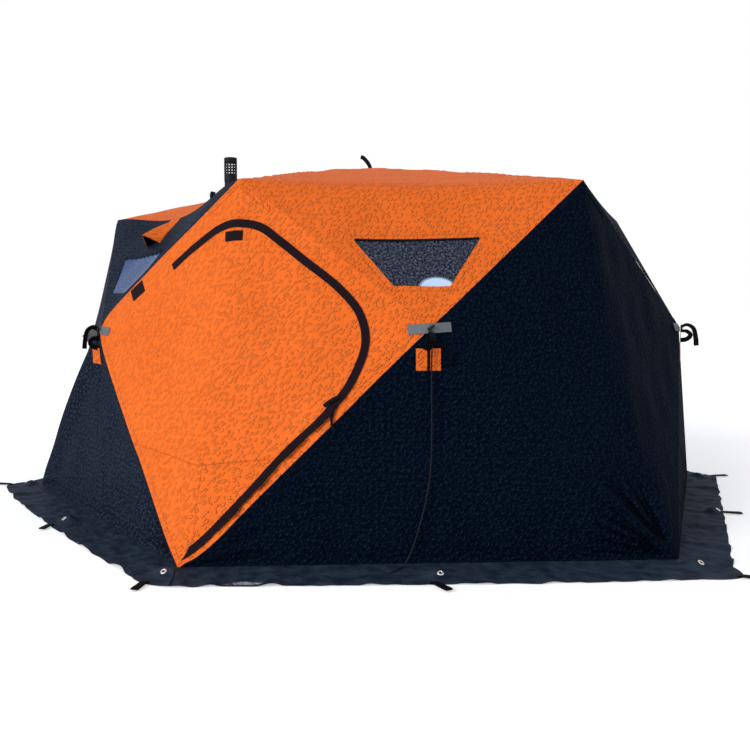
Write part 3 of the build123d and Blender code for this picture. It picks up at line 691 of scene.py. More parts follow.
def roof_cut():
    """The whole roof, laid out as it is seen from above."""
    sides = []
    for wall in range(SIDES):
        facet = FACETS["roof", wall]
        slope = -facet.out[:2] / facet.out[2]
        sides.append((facet, ROOF_TOP, np.array([1, 0, slope[0]]), np.array([0, 1, slope[1]])))

    def choose(points):
        angle = np.degrees(np.arctan2(points[:, 1], points[:, 0]))
        return np.floor((angle + 120) / 60).astype(int) % SIDES

    return Cut(sides, [eave(corner)[:2] for corner in range(SIDES)], choose, 50)


UPPER = [wall_cut("upper", wall) for wall in range(SIDES)]
LOWER = [wall_cut("lower", wall) for wall in range(SIDES)]
CORNER = [CornerCut(corner) for corner in range(SIDES)]
ROOF = roof_cut()
ROOF.ripple = ROOF_RIPPLE

# Creases: where each starts and ends on its cut, how wide it is and how deep, with ridges below zero
LOWER_CREASES = [
    (-1.02, -0.985, -0.58, -0.955, 0.016, 0.007),
    (-1.00, -0.965, -0.66, -0.895, 0.018, -0.006),
    (-0.96, -0.925, -0.60, -0.820, 0.020, 0.006),
    (-0.84, -0.800, -0.55, -0.690, 0.022, 0.004),
    (1.03, -0.990, 0.66, -0.960, 0.012, 0.009),
    (1.02, -0.980, 0.68, -0.905, 0.011, 0.010),
    (1.01, -0.965, 0.70, -0.850, 0.011, 0.010),
    (1.00, -0.950, 0.72, -0.790, 0.012, 0.010),
    (0.97, -0.915, 0.66, -0.690, 0.014, 0.008),
    (0.02, -0.10, -0.02, -0.62, 0.020, 0.005),
    (0.03, -0.62, 0.10, -0.93, 0.022, -0.004),
    (-0.45, -0.975, 0.40, -0.970, 0.020, 0.005),
]
UPPER_CREASES = [
    (-0.70, 0.705, -0.42, 0.60, 0.018, 0.003),
    (-0.60, 0.640, -0.33, 0.50, 0.016, -0.003),
    (0.70, 0.705, 0.42, 0.62, 0.018, 0.003),
    (-0.33, 0.50, -0.20, 0.56, 0.014, 0.003),
    (0.31, 0.50, 0.20, 0.57, 0.014, 0.003),
]
CORNER_CREASES = [
    (-0.028, 1.752, 0.027, 1.627, 0.012, 0.004),
    (0.010, 1.740, -0.030, 1.620, 0.012, -0.003),
    (0.008, 1.461, 0.013, 1.422, 0.010, 0.003),
    (-0.224, 0.446, -0.156, 0.326, 0.016, 0.006),
    (-0.10, 0.30, -0.03, 0.12, 0.018, 0.004),
    (0.14, 0.30, 0.05, 0.12, 0.018, 0.004),
]
FOOT_CREASES = [
    (-0.020, 0.060, -0.090, 0.400, 0.010, 0.010),
    (-0.030, 0.065, -0.150, 0.420, 0.010, 0.010),
    (-0.040, 0.065, -0.210, 0.380, 0.011, 0.010),
    (-0.050, 0.075, -0.270, 0.420, 0.012, 0.008),
    (-0.060, 0.080, -0.330, 0.450, 0.013, 0.008),
]
for side in range(SIDES):
    LOWER[side].creases = LOWER_CREASES
    UPPER[side].creases = UPPER_CREASES
    CORNER[side].creases = CORNER_CREASES + ([] if side == DOOR_CORNER else FOOT_CREASES)


def divided(points, step, closed):
    """The points of a line, with more between them so that none is further apart than a step."""
    ends = list(points[1:]) + ([points[0]] if closed else [])
    found = []
    for start, end in zip(points, ends):
        start, end = np.asarray(start, float), np.asarray(end, float)
        count = max(1, math.ceil(np.linalg.norm(end - start) / step))
        found += [start + (end - start) * index / count for index in range(count)]
    return found if closed else found + [np.asarray(points[-1], float)]


def spread(outline, holes, lines, step):
    """A net of triangles inside an outline, without its holes, with edges along some lines."""
    points, edges, sides = [], [], []
    traces = [(outline, True)] + [(hole, True) for hole in holes] + [(line, False) for line in lines]
    for traced, closed in traces:
        dots = divided(traced, step, closed)
        first = len(points)
        points += dots
        edges += [(first + index, first + index + 1) for index in range(len(dots) - 1)]
        sides += [(np.asarray(a, float), np.asarray(b, float)) for a, b in zip(traced, traced[1:])]
        if closed:
            edges.append((first + len(dots) - 1, first))
            sides.append((np.asarray(traced[-1], float), np.asarray(traced[0], float)))
    low, high = np.min(outline, 0), np.max(outline, 0)
    across = np.arange(low[0], high[0], step)
    upward = np.arange(low[1], high[1], step * math.sqrt(3) / 2)
    grid = np.array([(x + step / 2 * (row % 2), y) for row, y in enumerate(upward) for x in across])
    keep = within(grid, outline) & (gap_to(grid, sides) > 0.55 * step)
    for hole in holes:
        keep &= ~within(grid, hole)
    points += list(grid[keep])
    found = delaunay_2d_cdt([Vector(p) for p in points], edges, [], 0, 1e-7)
    net = np.array([tuple(p) for p in found[0]])
    faces = np.array([tuple(f) for f in found[2]])
    middle = net[faces].mean(1)
    keep = within(middle, outline)
    for hole in holes:
        keep &= ~within(middle, hole)
    return net, faces[keep]


def mark_points(mesh, label, values):
    mesh.attributes.new(label, "FLOAT", "POINT").data.foreach_set("value", values.astype(np.float32))


def closed_sheet(name, places, faces, cut_at, marks, finish, thick):
    """An object from a sheet's face: a lining behind it, and the cut edge between them."""
    places, faces, cut_at = np.concatenate(places), np.concatenate(faces), np.concatenate(cut_at)
    count = len(places)
    normals = np.zeros((count, 3))
    for corner in range(1, faces.shape[1] - 1):
        a, b, c = faces[:, 0], faces[:, corner], faces[:, corner + 1]
        area = np.cross(places[b] - places[a], places[c] - places[a])
        for at in (a, b, c):
            np.add.at(normals, at, area)
    normals /= np.maximum(np.linalg.norm(normals, axis=1), 1e-12)[:, None]
    starts = faces.reshape(-1)
    ends = np.roll(faces, -1, 1).reshape(-1)
    code = np.minimum(starts, ends) * count + np.maximum(starts, ends)
    _, back, times = np.unique(code, return_inverse=True, return_counts=True)
    rim = times[back] == 1
    rim_faces = np.stack([ends[rim], starts[rim], starts[rim] + count, ends[rim] + count], 1)
    verts = np.concatenate([places, places - normals * thick])
    polygons = faces.tolist() + (faces[:, ::-1] + count).tolist() + rim_faces.tolist()
    mesh = bpy.data.meshes.new(name)
    mesh.from_pydata(verts.tolist(), [], polygons)
    for finish_material in finish:
        mesh.materials.append(finish_material)
    if len(finish) > 1:
        slots = np.zeros(len(polygons), np.int32)
        slots[len(faces) : 2 * len(faces)] = 1
        mesh.polygons.foreach_set("material_index", slots)
    corner_at = np.zeros(len(mesh.loops), np.int32)
    mesh.loops.foreach_get("vertex_index", corner_at)
    layer = mesh.uv_layers.new(name="cut")
    layer.data.foreach_set("uv", cut_at.astype(float)[corner_at % count].astype(np.float32).reshape(-1))
    for label, values in marks.items():
        mark_points(mesh, label, np.concatenate(values + values))
    mesh.polygons.foreach_set("use_smooth", np.ones(len(polygons), bool))
    mesh.set_sharp_from_angle(angle=math.radians(50))
    mesh.update()
    return added(name, mesh)


def cloth(name, pieces, finish, thick=CLOTH, step=NET, lift=0.0, hem_of=None, level_of=None):
    """One cloth object from pieces of cuts, with its flat area and its flat width and length."""
    places, nets, cuts = [], [], []
    marks = {"hem": [], "level": [], "crease": []}
    count, area, width, length = 0, 0.0, 0.0, 0.0
    for cut, outline, holes, lines in pieces:
        points, net = spread(outline, holes, lines, step)
        placed = cut.place(points, lift)
        face = placed[net]
        normal = np.cross(face[:, 1] - face[:, 0], face[:, 2] - face[:, 0])
        wrong = (normal * cut.outward(points[net].mean(1))).sum(1) < 0
        net[wrong] = net[wrong][:, ::-1]
        flat = points[net]
        first, second = flat[:, 1] - flat[:, 0], flat[:, 2] - flat[:, 0]
        area += np.abs(first[:, 0] * second[:, 1] - first[:, 1] * second[:, 0]).sum() / 2
        size = np.ptp(points, axis=0)
        width = max(width, size[0])
        length += size[1]
        places.append(placed)
        nets.append(net + count)
        cuts.append(points)
        marks["hem"].append(hem_of(points) if hem_of else gap_to(points, sides_of(outline)))
        marks["level"].append(level_of(points, placed[:, 2]) if level_of else placed[:, 2])
        marks["crease"].append(cut.creased(points))
        count += len(points)
    made = closed_sheet(name, places, nets, cuts, marks, finish, thick)
    return made, float(area), (float(width), float(length))


def bands(name, grids, finish, thick, closed=False):
    """One object from strips of cloth, each a grid of points along it and across it, to its right."""
    places, faces, cuts = [], [], []
    marks = {"hem": [], "level": []}
    count, area, width, length = 0, 0.0, 0.0, 0.0
    for grid in grids:
        rows, columns = grid.shape[:2]
        middle = grid[:, columns // 2]
        run = np.concatenate([[0], np.cumsum(np.linalg.norm(np.diff(middle, axis=0), axis=1))])
        steps = np.linalg.norm(np.diff(grid, axis=1), axis=2)
        over = np.concatenate([np.zeros((rows, 1)), np.cumsum(steps, 1)], 1)
        index = np.arange(rows * columns).reshape(rows, columns) + count
        first, second = (index, np.roll(index, -1, 0)) if closed else (index[:-1], index[1:])
        quads = np.stack([first[:, :-1], first[:, 1:], second[:, 1:], second[:, :-1]], -1).reshape(-1, 4)
        along = np.repeat(run[:, None], columns, 1)
        edge = np.minimum(over, over[:, -1:] - over)
        if not closed:
            edge = np.minimum(edge, np.minimum(along, run[-1] - along))
        points = grid.reshape(-1, 3)
        corners = points[quads - count]
        for a, b in ((1, 2), (2, 3)):
            span = np.cross(corners[:, a] - corners[:, 0], corners[:, b] - corners[:, 0])
            area += np.linalg.norm(span, axis=1).sum() / 2
        width = max(width, over[:, -1].max())
        length += run[-1] + (np.linalg.norm(middle[0] - middle[-1]) if closed else 0)
        places.append(points)
        faces.append(quads)
        cuts.append(np.stack([along, over], -1).reshape(-1, 2))
        marks["hem"].append(edge.reshape(-1) + NARROW_HEM)
        marks["level"].append(points[:, 2] + 10)
        count += rows * columns
    made = closed_sheet(name, places, faces, cuts, marks, finish, thick)
    return made, float(area), (float(width), float(max(length, area / width)))


def set_on(made, nodes, body="tent"):
    """Sets a piece on its body in place of its plain solids."""
    if nodes:
        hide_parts(*nodes)
    if body:
        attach(made, body)
    return made


def declare(cloth_made, nodes, body="tent"):
    """Sets a cloth piece on its body in place of its plain solids."""
    made, area, flat = cloth_made
    return set_on(made, nodes, body)


def strip_on(cut, line, left, right, lift, columns=3, slide=0.0):
    """A strip that follows a line on a cut; its two edges, its lift and a slide ahead may change over it."""
    line = np.asarray(line, float)
    ahead = np.gradient(line, axis=0)
    ahead /= np.linalg.norm(ahead, axis=1)[:, None]
    aside = np.stack([ahead[:, 1], -ahead[:, 0]], 1)
    share = np.linspace(0, 1, columns)[None, :]
    left, right = np.broadcast_to(left, len(line)), np.broadcast_to(right, len(line))
    offset = left[:, None] * (1 - share) + right[:, None] * share
    slid = np.broadcast_to(slide, (len(line), columns))
    points = line[:, None] + offset[..., None] * aside[:, None] + slid[..., None] * ahead[:, None]
    raised = np.broadcast_to(lift, (len(line), columns))
    return cut.place(points.reshape(-1, 2), raised.reshape(-1)).reshape(len(line), columns, 3)


def ribbon(points, width, across, twist=(0, 0), step=0.008, columns=3):
    """A free strip of webbing along some points: its width as near a given way as can be, then twisted."""
    line = smooth_line(points, step)
    ahead = np.gradient(line, axis=0)
    ahead /= np.linalg.norm(ahead, axis=1)[:, None]
    across = np.asarray(across, float)
    aside = across - (ahead @ across)[:, None] * ahead
    aside /= np.linalg.norm(aside, axis=1)[:, None]
    angle = np.radians(np.linspace(*twist, len(line)))[:, None]
    aside = np.cos(angle) * aside + np.sin(angle) * np.cross(ahead, aside)
    return line[:, None] + np.linspace(-width / 2, width / 2, columns)[None, :, None] * aside[:, None]


def solid(name, verts, faces, finish):
    """A hard piece from points and faces, smooth apart from its edges."""
    mesh = bpy.data.meshes.new(name)
    mesh.from_pydata([tuple(v) for v in verts], [], faces)
    mesh.materials.append(finish)
    shaped = bmesh.new()
    shaped.from_mesh(mesh)
    bmesh.ops.recalc_face_normals(shaped, faces=shaped.faces)
    shaped.to_mesh(mesh)
    shaped.free()
    mesh.polygons.foreach_set("use_smooth", np.ones(len(mesh.polygons), bool))
    mesh.set_sharp_from_angle(angle=math.radians(40))
    return added(name, mesh)


def around_axis(axis, count):
    """Some ways square to an axis, evenly round it."""
    other = UP if abs(axis[2]) < 0.9 else np.array([1.0, 0.0, 0.0])
    first = unit(np.cross(axis, other))
    second = np.cross(axis, first)
    angles = [2 * math.pi * step / count for step in range(count)]
    return [math.cos(angle) * first + math.sin(angle) * second for angle in angles]


def round_bars(name, routes, finish, sides=12):
    """Round mouldings, each a route of points with a radius at each."""
    verts, faces = [], []
    for points, radii in routes:
        points = np.asarray(points, float)
        base = len(verts)
        ways = around_axis(unit(points[-1] - points[0]), sides)
        verts += [point + radius * way for point, radius in zip(points, radii) for way in ways]
        last = base + (len(points) - 1) * sides
        for row in range(base, last, sides):
            for step in range(sides):
                after = (step + 1) % sides
                faces.append((row + step, row + after, row + sides + after, row + sides + step))
        faces += [tuple(end + step for step in range(sides)) for end in (base, last)]
    return solid(name, verts, faces, finish)


def turned_rings(name, places, profile, finish, turns=24):
    """Turned rings: a closed profile of radius and height, taken round an axis at each place."""
    verts, faces = [], []
    count = len(profile)
    for centre, axis in places:
        base = len(verts)
        for way in around_axis(axis, turns):
            verts += [centre + radius * way + height * axis for radius, height in profile]
        for step in range(turns):
            here, there = base + step * count, base + (step + 1) % turns * count
            for row in range(count):
                after = (row + 1) % count
                faces.append((here + row, here + after, there + after, there + row))
    return solid(name, verts, faces, finish)


def rounded(points, radii, steps=7):
    """A closed outline with its corners rounded."""
    found = []
    points = [np.asarray(p, float) for p in points]
    for index, (corner, radius) in enumerate(zip(points, radii)):
        first = unit(points[index - 1] - corner)
        second = unit(points[(index + 1) % len(points)] - corner)
        half = math.acos(np.clip(first @ second, -1, 1)) / 2
        middle = corner + unit(first + second) * radius / math.sin(half)
        start = corner + first * radius / math.tan(half) - middle
        end = corner + second * radius / math.tan(half) - middle
        sweep = math.pi - 2 * half
        for step in range(steps + 1):
            share = step / steps
            arm = start * math.sin((1 - share) * sweep) + end * math.sin(share * sweep)
            found.append(middle + arm / math.sin(sweep))
    return found


# The guy rope: its route, as the solid has it
ROPE_ROUTE = [
    (0.002, -1.846, 0.990),
    (0.003, -1.846, 0.940),
    (-0.001, -1.853, 0.860),
    (0.002, -1.856, 0.500),
    (-0.003, -1.859, 0.410),
    (-0.014, -1.863, 0.325),
    (-0.031, -1.868, 0.245),
    (-0.052, -1.872, 0.170),
    (-0.074, -1.876, 0.100),
    (-0.096, -1.884, 0.045),
    (-0.121, -1.905, 0.013),
    (-0.152, -1.938, 0.0066),
    (-0.181, -1.980, 0.0067),
    (-0.222, -2.010, 0.0066),
    (-0.262, -2.014, 0.0066),
]
ROPE_RADIUS = 0.003

rope_data = bpy.data.curves.new("guy_rope_braid", "CURVE")
rope_data.dimensions = "3D"
rope_line = rope_data.splines.new("NURBS")
rope_line.points.add(len(ROPE_ROUTE) - 1)
for point, at in zip(rope_line.points, ROPE_ROUTE):
    point.co = (*at, 1.0)
rope_line.order_u = 3
rope_line.use_endpoint_u = True
rope_line.resolution_u = 8
rope_data.bevel_depth = ROPE_RADIUS
rope_data.bevel_resolution = 3
rope_data.use_fill_caps = True
rope_data.materials.append(ROPE_NYLON)
rope = added("guy_rope_braid", rope_data)
set_on(rope, ["guy_rope"])

# Windows: low left, low right, top right and top left corner on each panel, with scallops on gathered tops
PLAIN_WINDOW = [(-0.125, 0.215), (0.125, 0.215), (0.295, 0.470), (-0.295, 0.470)]
FRONT_WINDOW = [(-0.141, 0.2146), (0.113, 0.2168), (0.285, 0.4826), (-0.304, 0.4735)]
GATHERED_WINDOW = [(-0.155, 0.239), (0.107, 0.226), (0.208, 0.511), (-0.284, 0.493)]
WINDOWS = [FRONT_WINDOW, PLAIN_WINDOW, GATHERED_WINDOW, FRONT_WINDOW, PLAIN_WINDOW, GATHERED_WINDOW]
WINDOW_CORNER = 0.010
WINDOW_STEP = 0.009
SCALLOP = 0.055
SCALLOP_DEPTH = 0.017
PLAIN_DEPTH = 0.0015
PANE = 0.0008
PANE_HEM = 0.016
BINDING = (-0.004, 0.006)
GATHERED_BINDING = (-0.004, 0.001)


def top_share(points, corners):
    """How far points are along a window's top edge and off it, its length, and which are well on it."""
    left, right = np.array(corners[3]), np.array(corners[2])
    side = right - left
    share = (points - left) @ side / (side @ side)
    return share, gap_to(points, [(left, right)]), np.linalg.norm(side), (share > 0.04) & (share < 0.96)


def window_ring(wall):
    ring_points = np.array(divided(rounded(WINDOWS[wall], [WINDOW_CORNER] * 4), WINDOW_STEP, True))
    share, off, length, well_on = top_share(ring_points, WINDOWS[wall])
    scallops = SCALLOP_DEPTH * np.abs(np.sin(math.pi * share * length / SCALLOP))
    depth = scallops if wall in VENT_WALLS else PLAIN_DEPTH
    ring_points[:, 1] -= np.where((off < 1e-4) & well_on, depth, 0)
    return ring_points


def window_top(wall):
    """The line of a window's top edge, from left to right."""
    ring_points = window_ring(wall)
    _, off, _, well_on = top_share(ring_points, WINDOWS[wall])
    line = ring_points[(off < 0.008) | (off < SCALLOP_DEPTH + 0.001) & well_on]
    return line[np.argsort(line[:, 0])]


# Vent hoods, on a panel: the feet and the tops of a hood, and how far its tip stands out
HOOD_FEET = ((-0.080, 0.563), (0.082, 0.578))
HOOD_TOPS = ((-0.090, 0.806), (0.042, 0.806))
HOOD_TIP_SHIFT = (0.022, 0.008)
HOOD_REACH = 0.090
HOOD_CLOTH = 0.0022
NET_HEM = 0.016


def hood_points(across, upward):
    """Plane points under a hood, at shares across it and up it."""
    low = np.array(HOOD_FEET[0]) * (1 - across) + np.array(HOOD_FEET[1]) * across
    high = np.array(HOOD_TOPS[0]) * (1 - across) + np.array(HOOD_TOPS[1]) * across
    return low * (1 - upward) + high * upward


def hood_grid(wall):
    """A hood: a sheet folded along its middle, sewn to the eave and down both sides, and open below."""
    across = np.linspace(0, 1, 21)
    crown = 1 - np.abs(2 * across - 1) ** 1.2
    rows = []
    for upward in np.linspace(0, 1, 17):
        tip = crown[:, None] * (1 - upward) * np.array(HOOD_TIP_SHIFT)
        rise = HOOD_REACH * (1 - upward) * crown + HOOD_CLOTH
        rows.append(UPPER[wall].place(hood_points(across[:, None], upward) + tip, rise))
    return np.array(rows)


vent_corners = [(0.14, 0.10), (0.86, 0.10), (0.86, 0.80), (0.14, 0.80)]
vent_hole = rounded([hood_points(*at) for at in vent_corners], [0.008] * 4)

# Wall panels, with their windows and vents cut out
for wall, name in enumerate(WALL_NAMES):
    dark = PAINTED_SHEEN_BLACK if wall == PAINTED_SHEEN_SIDE else BLACK
    face = ORANGE if wall in ORANGE_WALLS else dark
    slot = "orange_quilt" if wall in ORANGE_WALLS else "black_quilt"
    holes = [window_ring(wall)] + ([vent_hole] if wall in VENT_WALLS else [])
    edges = sides_of(WINDOWS[wall])
    upper = cloth(
        name + "_upper_cloth",
        [(UPPER[wall], UPPER[wall].outline, holes, [])],
        [face, LINING],
        hem_of=lambda p: 0.6 * gap_to(p, edges),
    )
    declare(upper, [name + "_upper_panel"])
    lines = [[crease[:2], crease[2:4]] for crease in LOWER[wall].creases]
    lower = cloth(name + "_lower_cloth", [(LOWER[wall], LOWER[wall].outline, [], lines)], [dark, LINING])
    declare(lower, [name + "_lower_panel"])

panes = []
for wall in range(SIDES):
    corners = np.array(WINDOWS[wall])
    middle = corners.mean(0)
    panes.append((UPPER[wall], [corner + unit(corner - middle) * PANE_HEM for corner in corners], [], []))
panes = cloth("window_panes", panes, [VINYL], PANE, 0.022, -CLOTH - PANE / 2)
declare(panes, ["window_films"])

# A painted dome of light low on the front pane; blue haze and painted sky reflection on both gathered ones
FAR_LIGHT_MIDDLE = np.array([0.055, 0.205])
FAR_LIGHT_SIZE = np.array([0.078, 0.060])
pane_mesh = panes[0].data
spots = np.zeros(len(pane_mesh.vertices) * 3)
pane_mesh.vertices.foreach_get("co", spots)
spots = spots.reshape(-1, 3)
facet, origin, along, up = UPPER[0].sides[0]
beside = spots - origin
away = np.stack([beside @ along, beside @ up], 1) - FAR_LIGHT_MIDDLE
far_light_patch = np.exp(-0.7 * ((away / FAR_LIGHT_SIZE) ** 2).sum(1)) * (np.abs(beside @ facet.out) < 0.1)
mark_points(pane_mesh, "far_light_patch", far_light_patch)
hazed_with_sky_reflection = [spots @ ring(1, wall_angle(wall), 0) > 1.3 for wall in VENT_WALLS]
mark_points(pane_mesh, "haze_and_sky_reflection", np.any(hazed_with_sky_reflection, 0))

bindings = []
for wall in range(SIDES):
    line = np.array(divided(window_top(wall), 0.008, False))
    edges = GATHERED_BINDING if wall in VENT_WALLS else BINDING
    bindings.append(strip_on(UPPER[wall], line, *edges, 0.0014))
declare(bands("window_bindings", bindings, [WEBBING], 0.0012), [])

hoods = bands("vent_hood_cloths", [hood_grid(wall) for wall in VENT_WALLS], [ORANGE, LINING], HOOD_CLOTH)
declare(hoods, ["vent_hoods"])
middle = np.mean(vent_hole, 0)
net_ring = [point + unit(point - middle) * NET_HEM for point in vent_hole]
nets = [(UPPER[wall], net_ring, [], []) for wall in VENT_WALLS]
nets = cloth("vent_netting", nets, [NETTING], 0.0006, 0.02, -CLOTH - 0.0006)
declare(nets, ["vent_meshes"])

# Corners, and the roof over them
for corner, name in enumerate(CORNER_NAMES):
    if corner != DOOR_CORNER:
        cut = CORNER[corner]
        lines = [[(0, 0), (0, cut.length)]] + [[crease[:2], crease[2:4]] for crease in cut.creases]
        dark = PAINTED_SHEEN_BLACK if corner == PAINTED_SHEEN_SIDE else BLACK
        made = cloth(name + "_corner_cloth", [(cut, cut.outline, [], lines)], [dark, LINING])
        declare(made, [name + "_corner_panel"])

PIPE = np.array([-0.890, -0.500])
PIPE_RADIUS = 0.036
JACK_HOLE = 0.052
JACK_RADIUS = 0.120
COLLAR_FOOT = JACK_HOLE + 0.012
COLLAR_TOP = PIPE_RADIUS + 0.004
COLLAR_RISE = 0.042


def round_pipe(radius, count):
    angles = 2 * math.pi * np.arange(count) / count
    return PIPE + radius * np.stack([np.cos(angles), np.sin(angles)], 1)


jack_hole = round_pipe(JACK_HOLE, 24)
ridges = [[(0, 0), tuple(ROOF.outline[corner])] for corner in range(SIDES)]
roof = cloth("roof_cloth", [(ROOF, ROOF.outline, [jack_hole], ridges)], [ORANGE, LINING], step=ROOF_NET)
declare(roof, ["roof_canopy"])

# The stove jack: a flange sewn to the roof, and a collar moulded round the pipe
flange = [(ROOF, round_pipe(JACK_RADIUS, 40), [jack_hole], [])]
flange = cloth("stove_jack_flange", flange, [FLAP_CLOTH], 0.002, 0.016, 0.003)
declare(flange, ["stove_jack"])
collar_rows = []
collar_top = ROOF.place(round_pipe(JACK_HOLE, 32), 0.0)[:, 2].max() + COLLAR_RISE
collar_foot = ROOF.place(round_pipe(COLLAR_FOOT, 32), 0.006)[:, 2]
for share in np.linspace(1, 0, 7):
    radius = COLLAR_FOOT + (COLLAR_TOP - COLLAR_FOOT) * math.sin(share * math.pi / 2)
    height = collar_foot * (1 - share**2) + collar_top * share**2
    collar_rows.append(np.concatenate([round_pipe(radius, 32), height[:, None]], 1))
collar = np.array(collar_rows).transpose(1, 0, 2)
set_on(bands("stove_jack_collar", [collar], [SILICONE], 0.0025, closed=True)[0], [])

# The door, laid out flat with the corner that it is cut through: from its foot over the top to its fold
DOOR_FOOT = (0.0, 0.075)
DOOR_TOP = (0.0, 1.576)
HINGE_TOP = (-0.3775, 1.419)
DOOR_LINE = [
    DOOR_FOOT,
    (0.123, 0.207),
    (0.249, 0.362),
    (0.394, 0.554),
    (0.533, 0.715),
    (0.633, 0.871),
    (0.678, 1.045),
    (0.640, 1.177),
    (0.535, 1.289),
    (0.370, 1.403),
    (0.235, 1.496),
    (0.125, 1.563),
    DOOR_TOP,
    (-0.108, 1.556),
    (-0.257, 1.488),
    HINGE_TOP,
]
FOLD_SEAM_ACROSS = [0.012, 0.034, 0.016, 0.004, 0.0]
FOLD_SEAM_UP = [0.0, 0.145, 0.531, 1.0, 1.8]
JOIN_DIP = 0.05
JOIN_DIP_REACH = 0.40
DOOR_BEND = 0.07

door_cut = CORNER[DOOR_CORNER]
door_line = smooth_line(DOOR_LINE, 0.018)


def fold_seam(points):
    """The distance from the stitched seam low on the door's fold, set so that the seam's row falls on it."""
    off = points[:, 0] - np.interp(points[:, 1], FOLD_SEAM_UP, FOLD_SEAM_ACROSS)
    return STITCH_ROW + off * (0.6 + 60 * ease(0.45, 0.75, points[:, 1]))


def dipped(points, heights):
    """The join's level, which dips to the fold from both sides."""
    return heights + JOIN_DIP * np.clip(1 - np.abs(points[:, 0]) / JOIN_DIP_REACH, 0, 1) - 0.010


folds = [[(0, 0), DOOR_FOOT], [DOOR_TOP, (0, door_cut.length)]]
low_right, _, _, low_left = sides_of(door_cut.outline)
doorway = cloth(
    "doorway_cloth",
    [(door_cut, door_cut.outline, [door_line], folds)],
    [ORANGE, LINING],
    hem_of=lambda p: 0.58 * gap_to(p, [low_right, low_left]),
    level_of=dipped,
)
doorway_nodes = ["doorway_header", "doorway_fold_side", "doorway_zip_side"]
NESTED_STRIPS = (0.63, 2.6)
doorway = (doorway[0], doorway[1], NESTED_STRIPS)
declare(doorway, doorway_nodes)

hinge = np.array(HINGE_TOP) - np.array(DOOR_FOOT)
inward = unit(np.array([hinge[1], -hinge[0]]))
halfway = np.array(DOOR_FOOT) + hinge / 2
bend_start, bend_end = door_cut.place(np.array([halfway, halfway + inward * DOOR_BEND])).tolist()
door = cloth(
    "door_cloth",
    [(door_cut, door_line, [], [[DOOR_FOOT, DOOR_TOP]])],
    [ORANGE, LINING],
    hem_of=fold_seam,
    level_of=dipped,
)
door = declare(door, ["door"], None)
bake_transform(door)

# The storm flap over the zip: sewn along the door, with its outer edge loose and wavy low down
FLAP_LINE = [(0.026, 0.089)] + DOOR_LINE[1:-1] + [(-0.331, 1.445), (-0.398, 1.405)]
FLAP_SHARES = [0.0, 0.30, 0.42, 0.60, 0.78, 0.90, 1.0]
FLAP_WIDTHS = [0.030, 0.033, 0.036, 0.036, 0.039, 0.034, 0.031]
FLAP_COLUMNS = 5
flap_line = smooth_line(FLAP_LINE, 0.011)
flap_run = np.concatenate([[0], np.cumsum(np.linalg.norm(np.diff(flap_line, axis=0), axis=1))])
flap_share = flap_run / flap_run[-1]
flap_half = np.interp(flap_share, FLAP_SHARES, FLAP_WIDTHS) / 2
loose = ease(0.02, 0.08, flap_share) * (1 - ease(0.30, 0.42, flap_share))
waves = np.sin(flap_run * 2 * math.pi / 0.19) + 0.6 * np.sin(flap_run * 2 * math.pi / 0.083 + 1.3)
across = np.linspace(0, 1, FLAP_COLUMNS)[None, :]
flap_lift = np.linspace(0.0036, 0.0050, FLAP_COLUMNS)[None, :]
flap_lift = flap_lift + across**1.5 * (loose * (0.011 + 0.005 * waves))[:, None]
flap_end = np.linspace(0.012, -0.050, FLAP_COLUMNS)[None, :] * (1 - ease(0, 0.16, flap_run))[:, None]
flap_edge = flap_half + 0.0025 * loose * waves
flap = strip_on(door_cut, flap_line, -flap_half, flap_edge, flap_lift, FLAP_COLUMNS, flap_end)
flap = bands("door_flap_cloth", [flap], [FLAP_CLOTH], 0.0014)
flap = declare(flap, ["door_storm_flap"], None)
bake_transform(flap)

# The zip's two tapes, under the flap
zip_line = smooth_line(DOOR_LINE, 0.011)[9:-2]
door_tape = strip_on(door_cut, zip_line, -0.012, -0.001, 0.0014)
door_tape = bands("door_zip_tape", [door_tape], [WEBBING], 0.001)
door_tape = declare(door_tape, [], None)
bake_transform(door_tape)
frame_tape = strip_on(door_cut, zip_line, 0.001, 0.0115, 0.0014)
declare(bands("doorway_zip_tape", [frame_tape], [WEBBING], 0.001), [])

# Zip pulls: a short tab across the flap, and a longer one that hangs
PULL_TAB = [(0.530, 0.757), (0.556, 0.782), (0.590, 0.806)]
PULL_TAPE = [(0.578, 0.770), (0.574, 0.745), (0.5675, 0.713), (0.572, 0.684), (0.580, 0.664)]
pulls = []
for line, half, lift in ((PULL_TAB, 0.008, 0.0125), (PULL_TAPE, 0.0055, 0.0135)):
    pulls.append(strip_on(door_cut, smooth_line(line, 0.008), -half, half, lift))
pulls = bands("zip_pull_tabs", pulls, [WEBBING], 0.002)
declare(pulls, [], "door")


def tie_patch(name, centre, width, height, degrees):
    """A patch of webbing sewn flat beside the door: a turned rectangle with rounded corners."""
    along = np.array([math.cos(math.radians(degrees)), math.sin(math.radians(degrees))])
    up = np.array([-along[1], along[0]])
    corners = [
        np.asarray(centre) + sx * along * width / 2 + sy * up * height / 2
        for sx, sy in ((-1, -1), (1, -1), (1, 1), (-1, 1))
    ]
    piece = (door_cut, rounded(corners, [0.004] * 4, 4), [], [])
    return cloth(name, [piece], [FLAP_CLOTH], 0.002, 0.012, 0.0028)


door_tie = tie_patch("door_tie_webbing", (0.0, 1.518), 0.098, 0.047, 1.5)
declare(door_tie, ["door_tie_patch"], "door")
wall_tie = tie_patch("wall_tie_webbing", (-0.648, 1.297), 0.096, 0.058, 32.0)
declare(wall_tie, ["wall_tie_patch"])

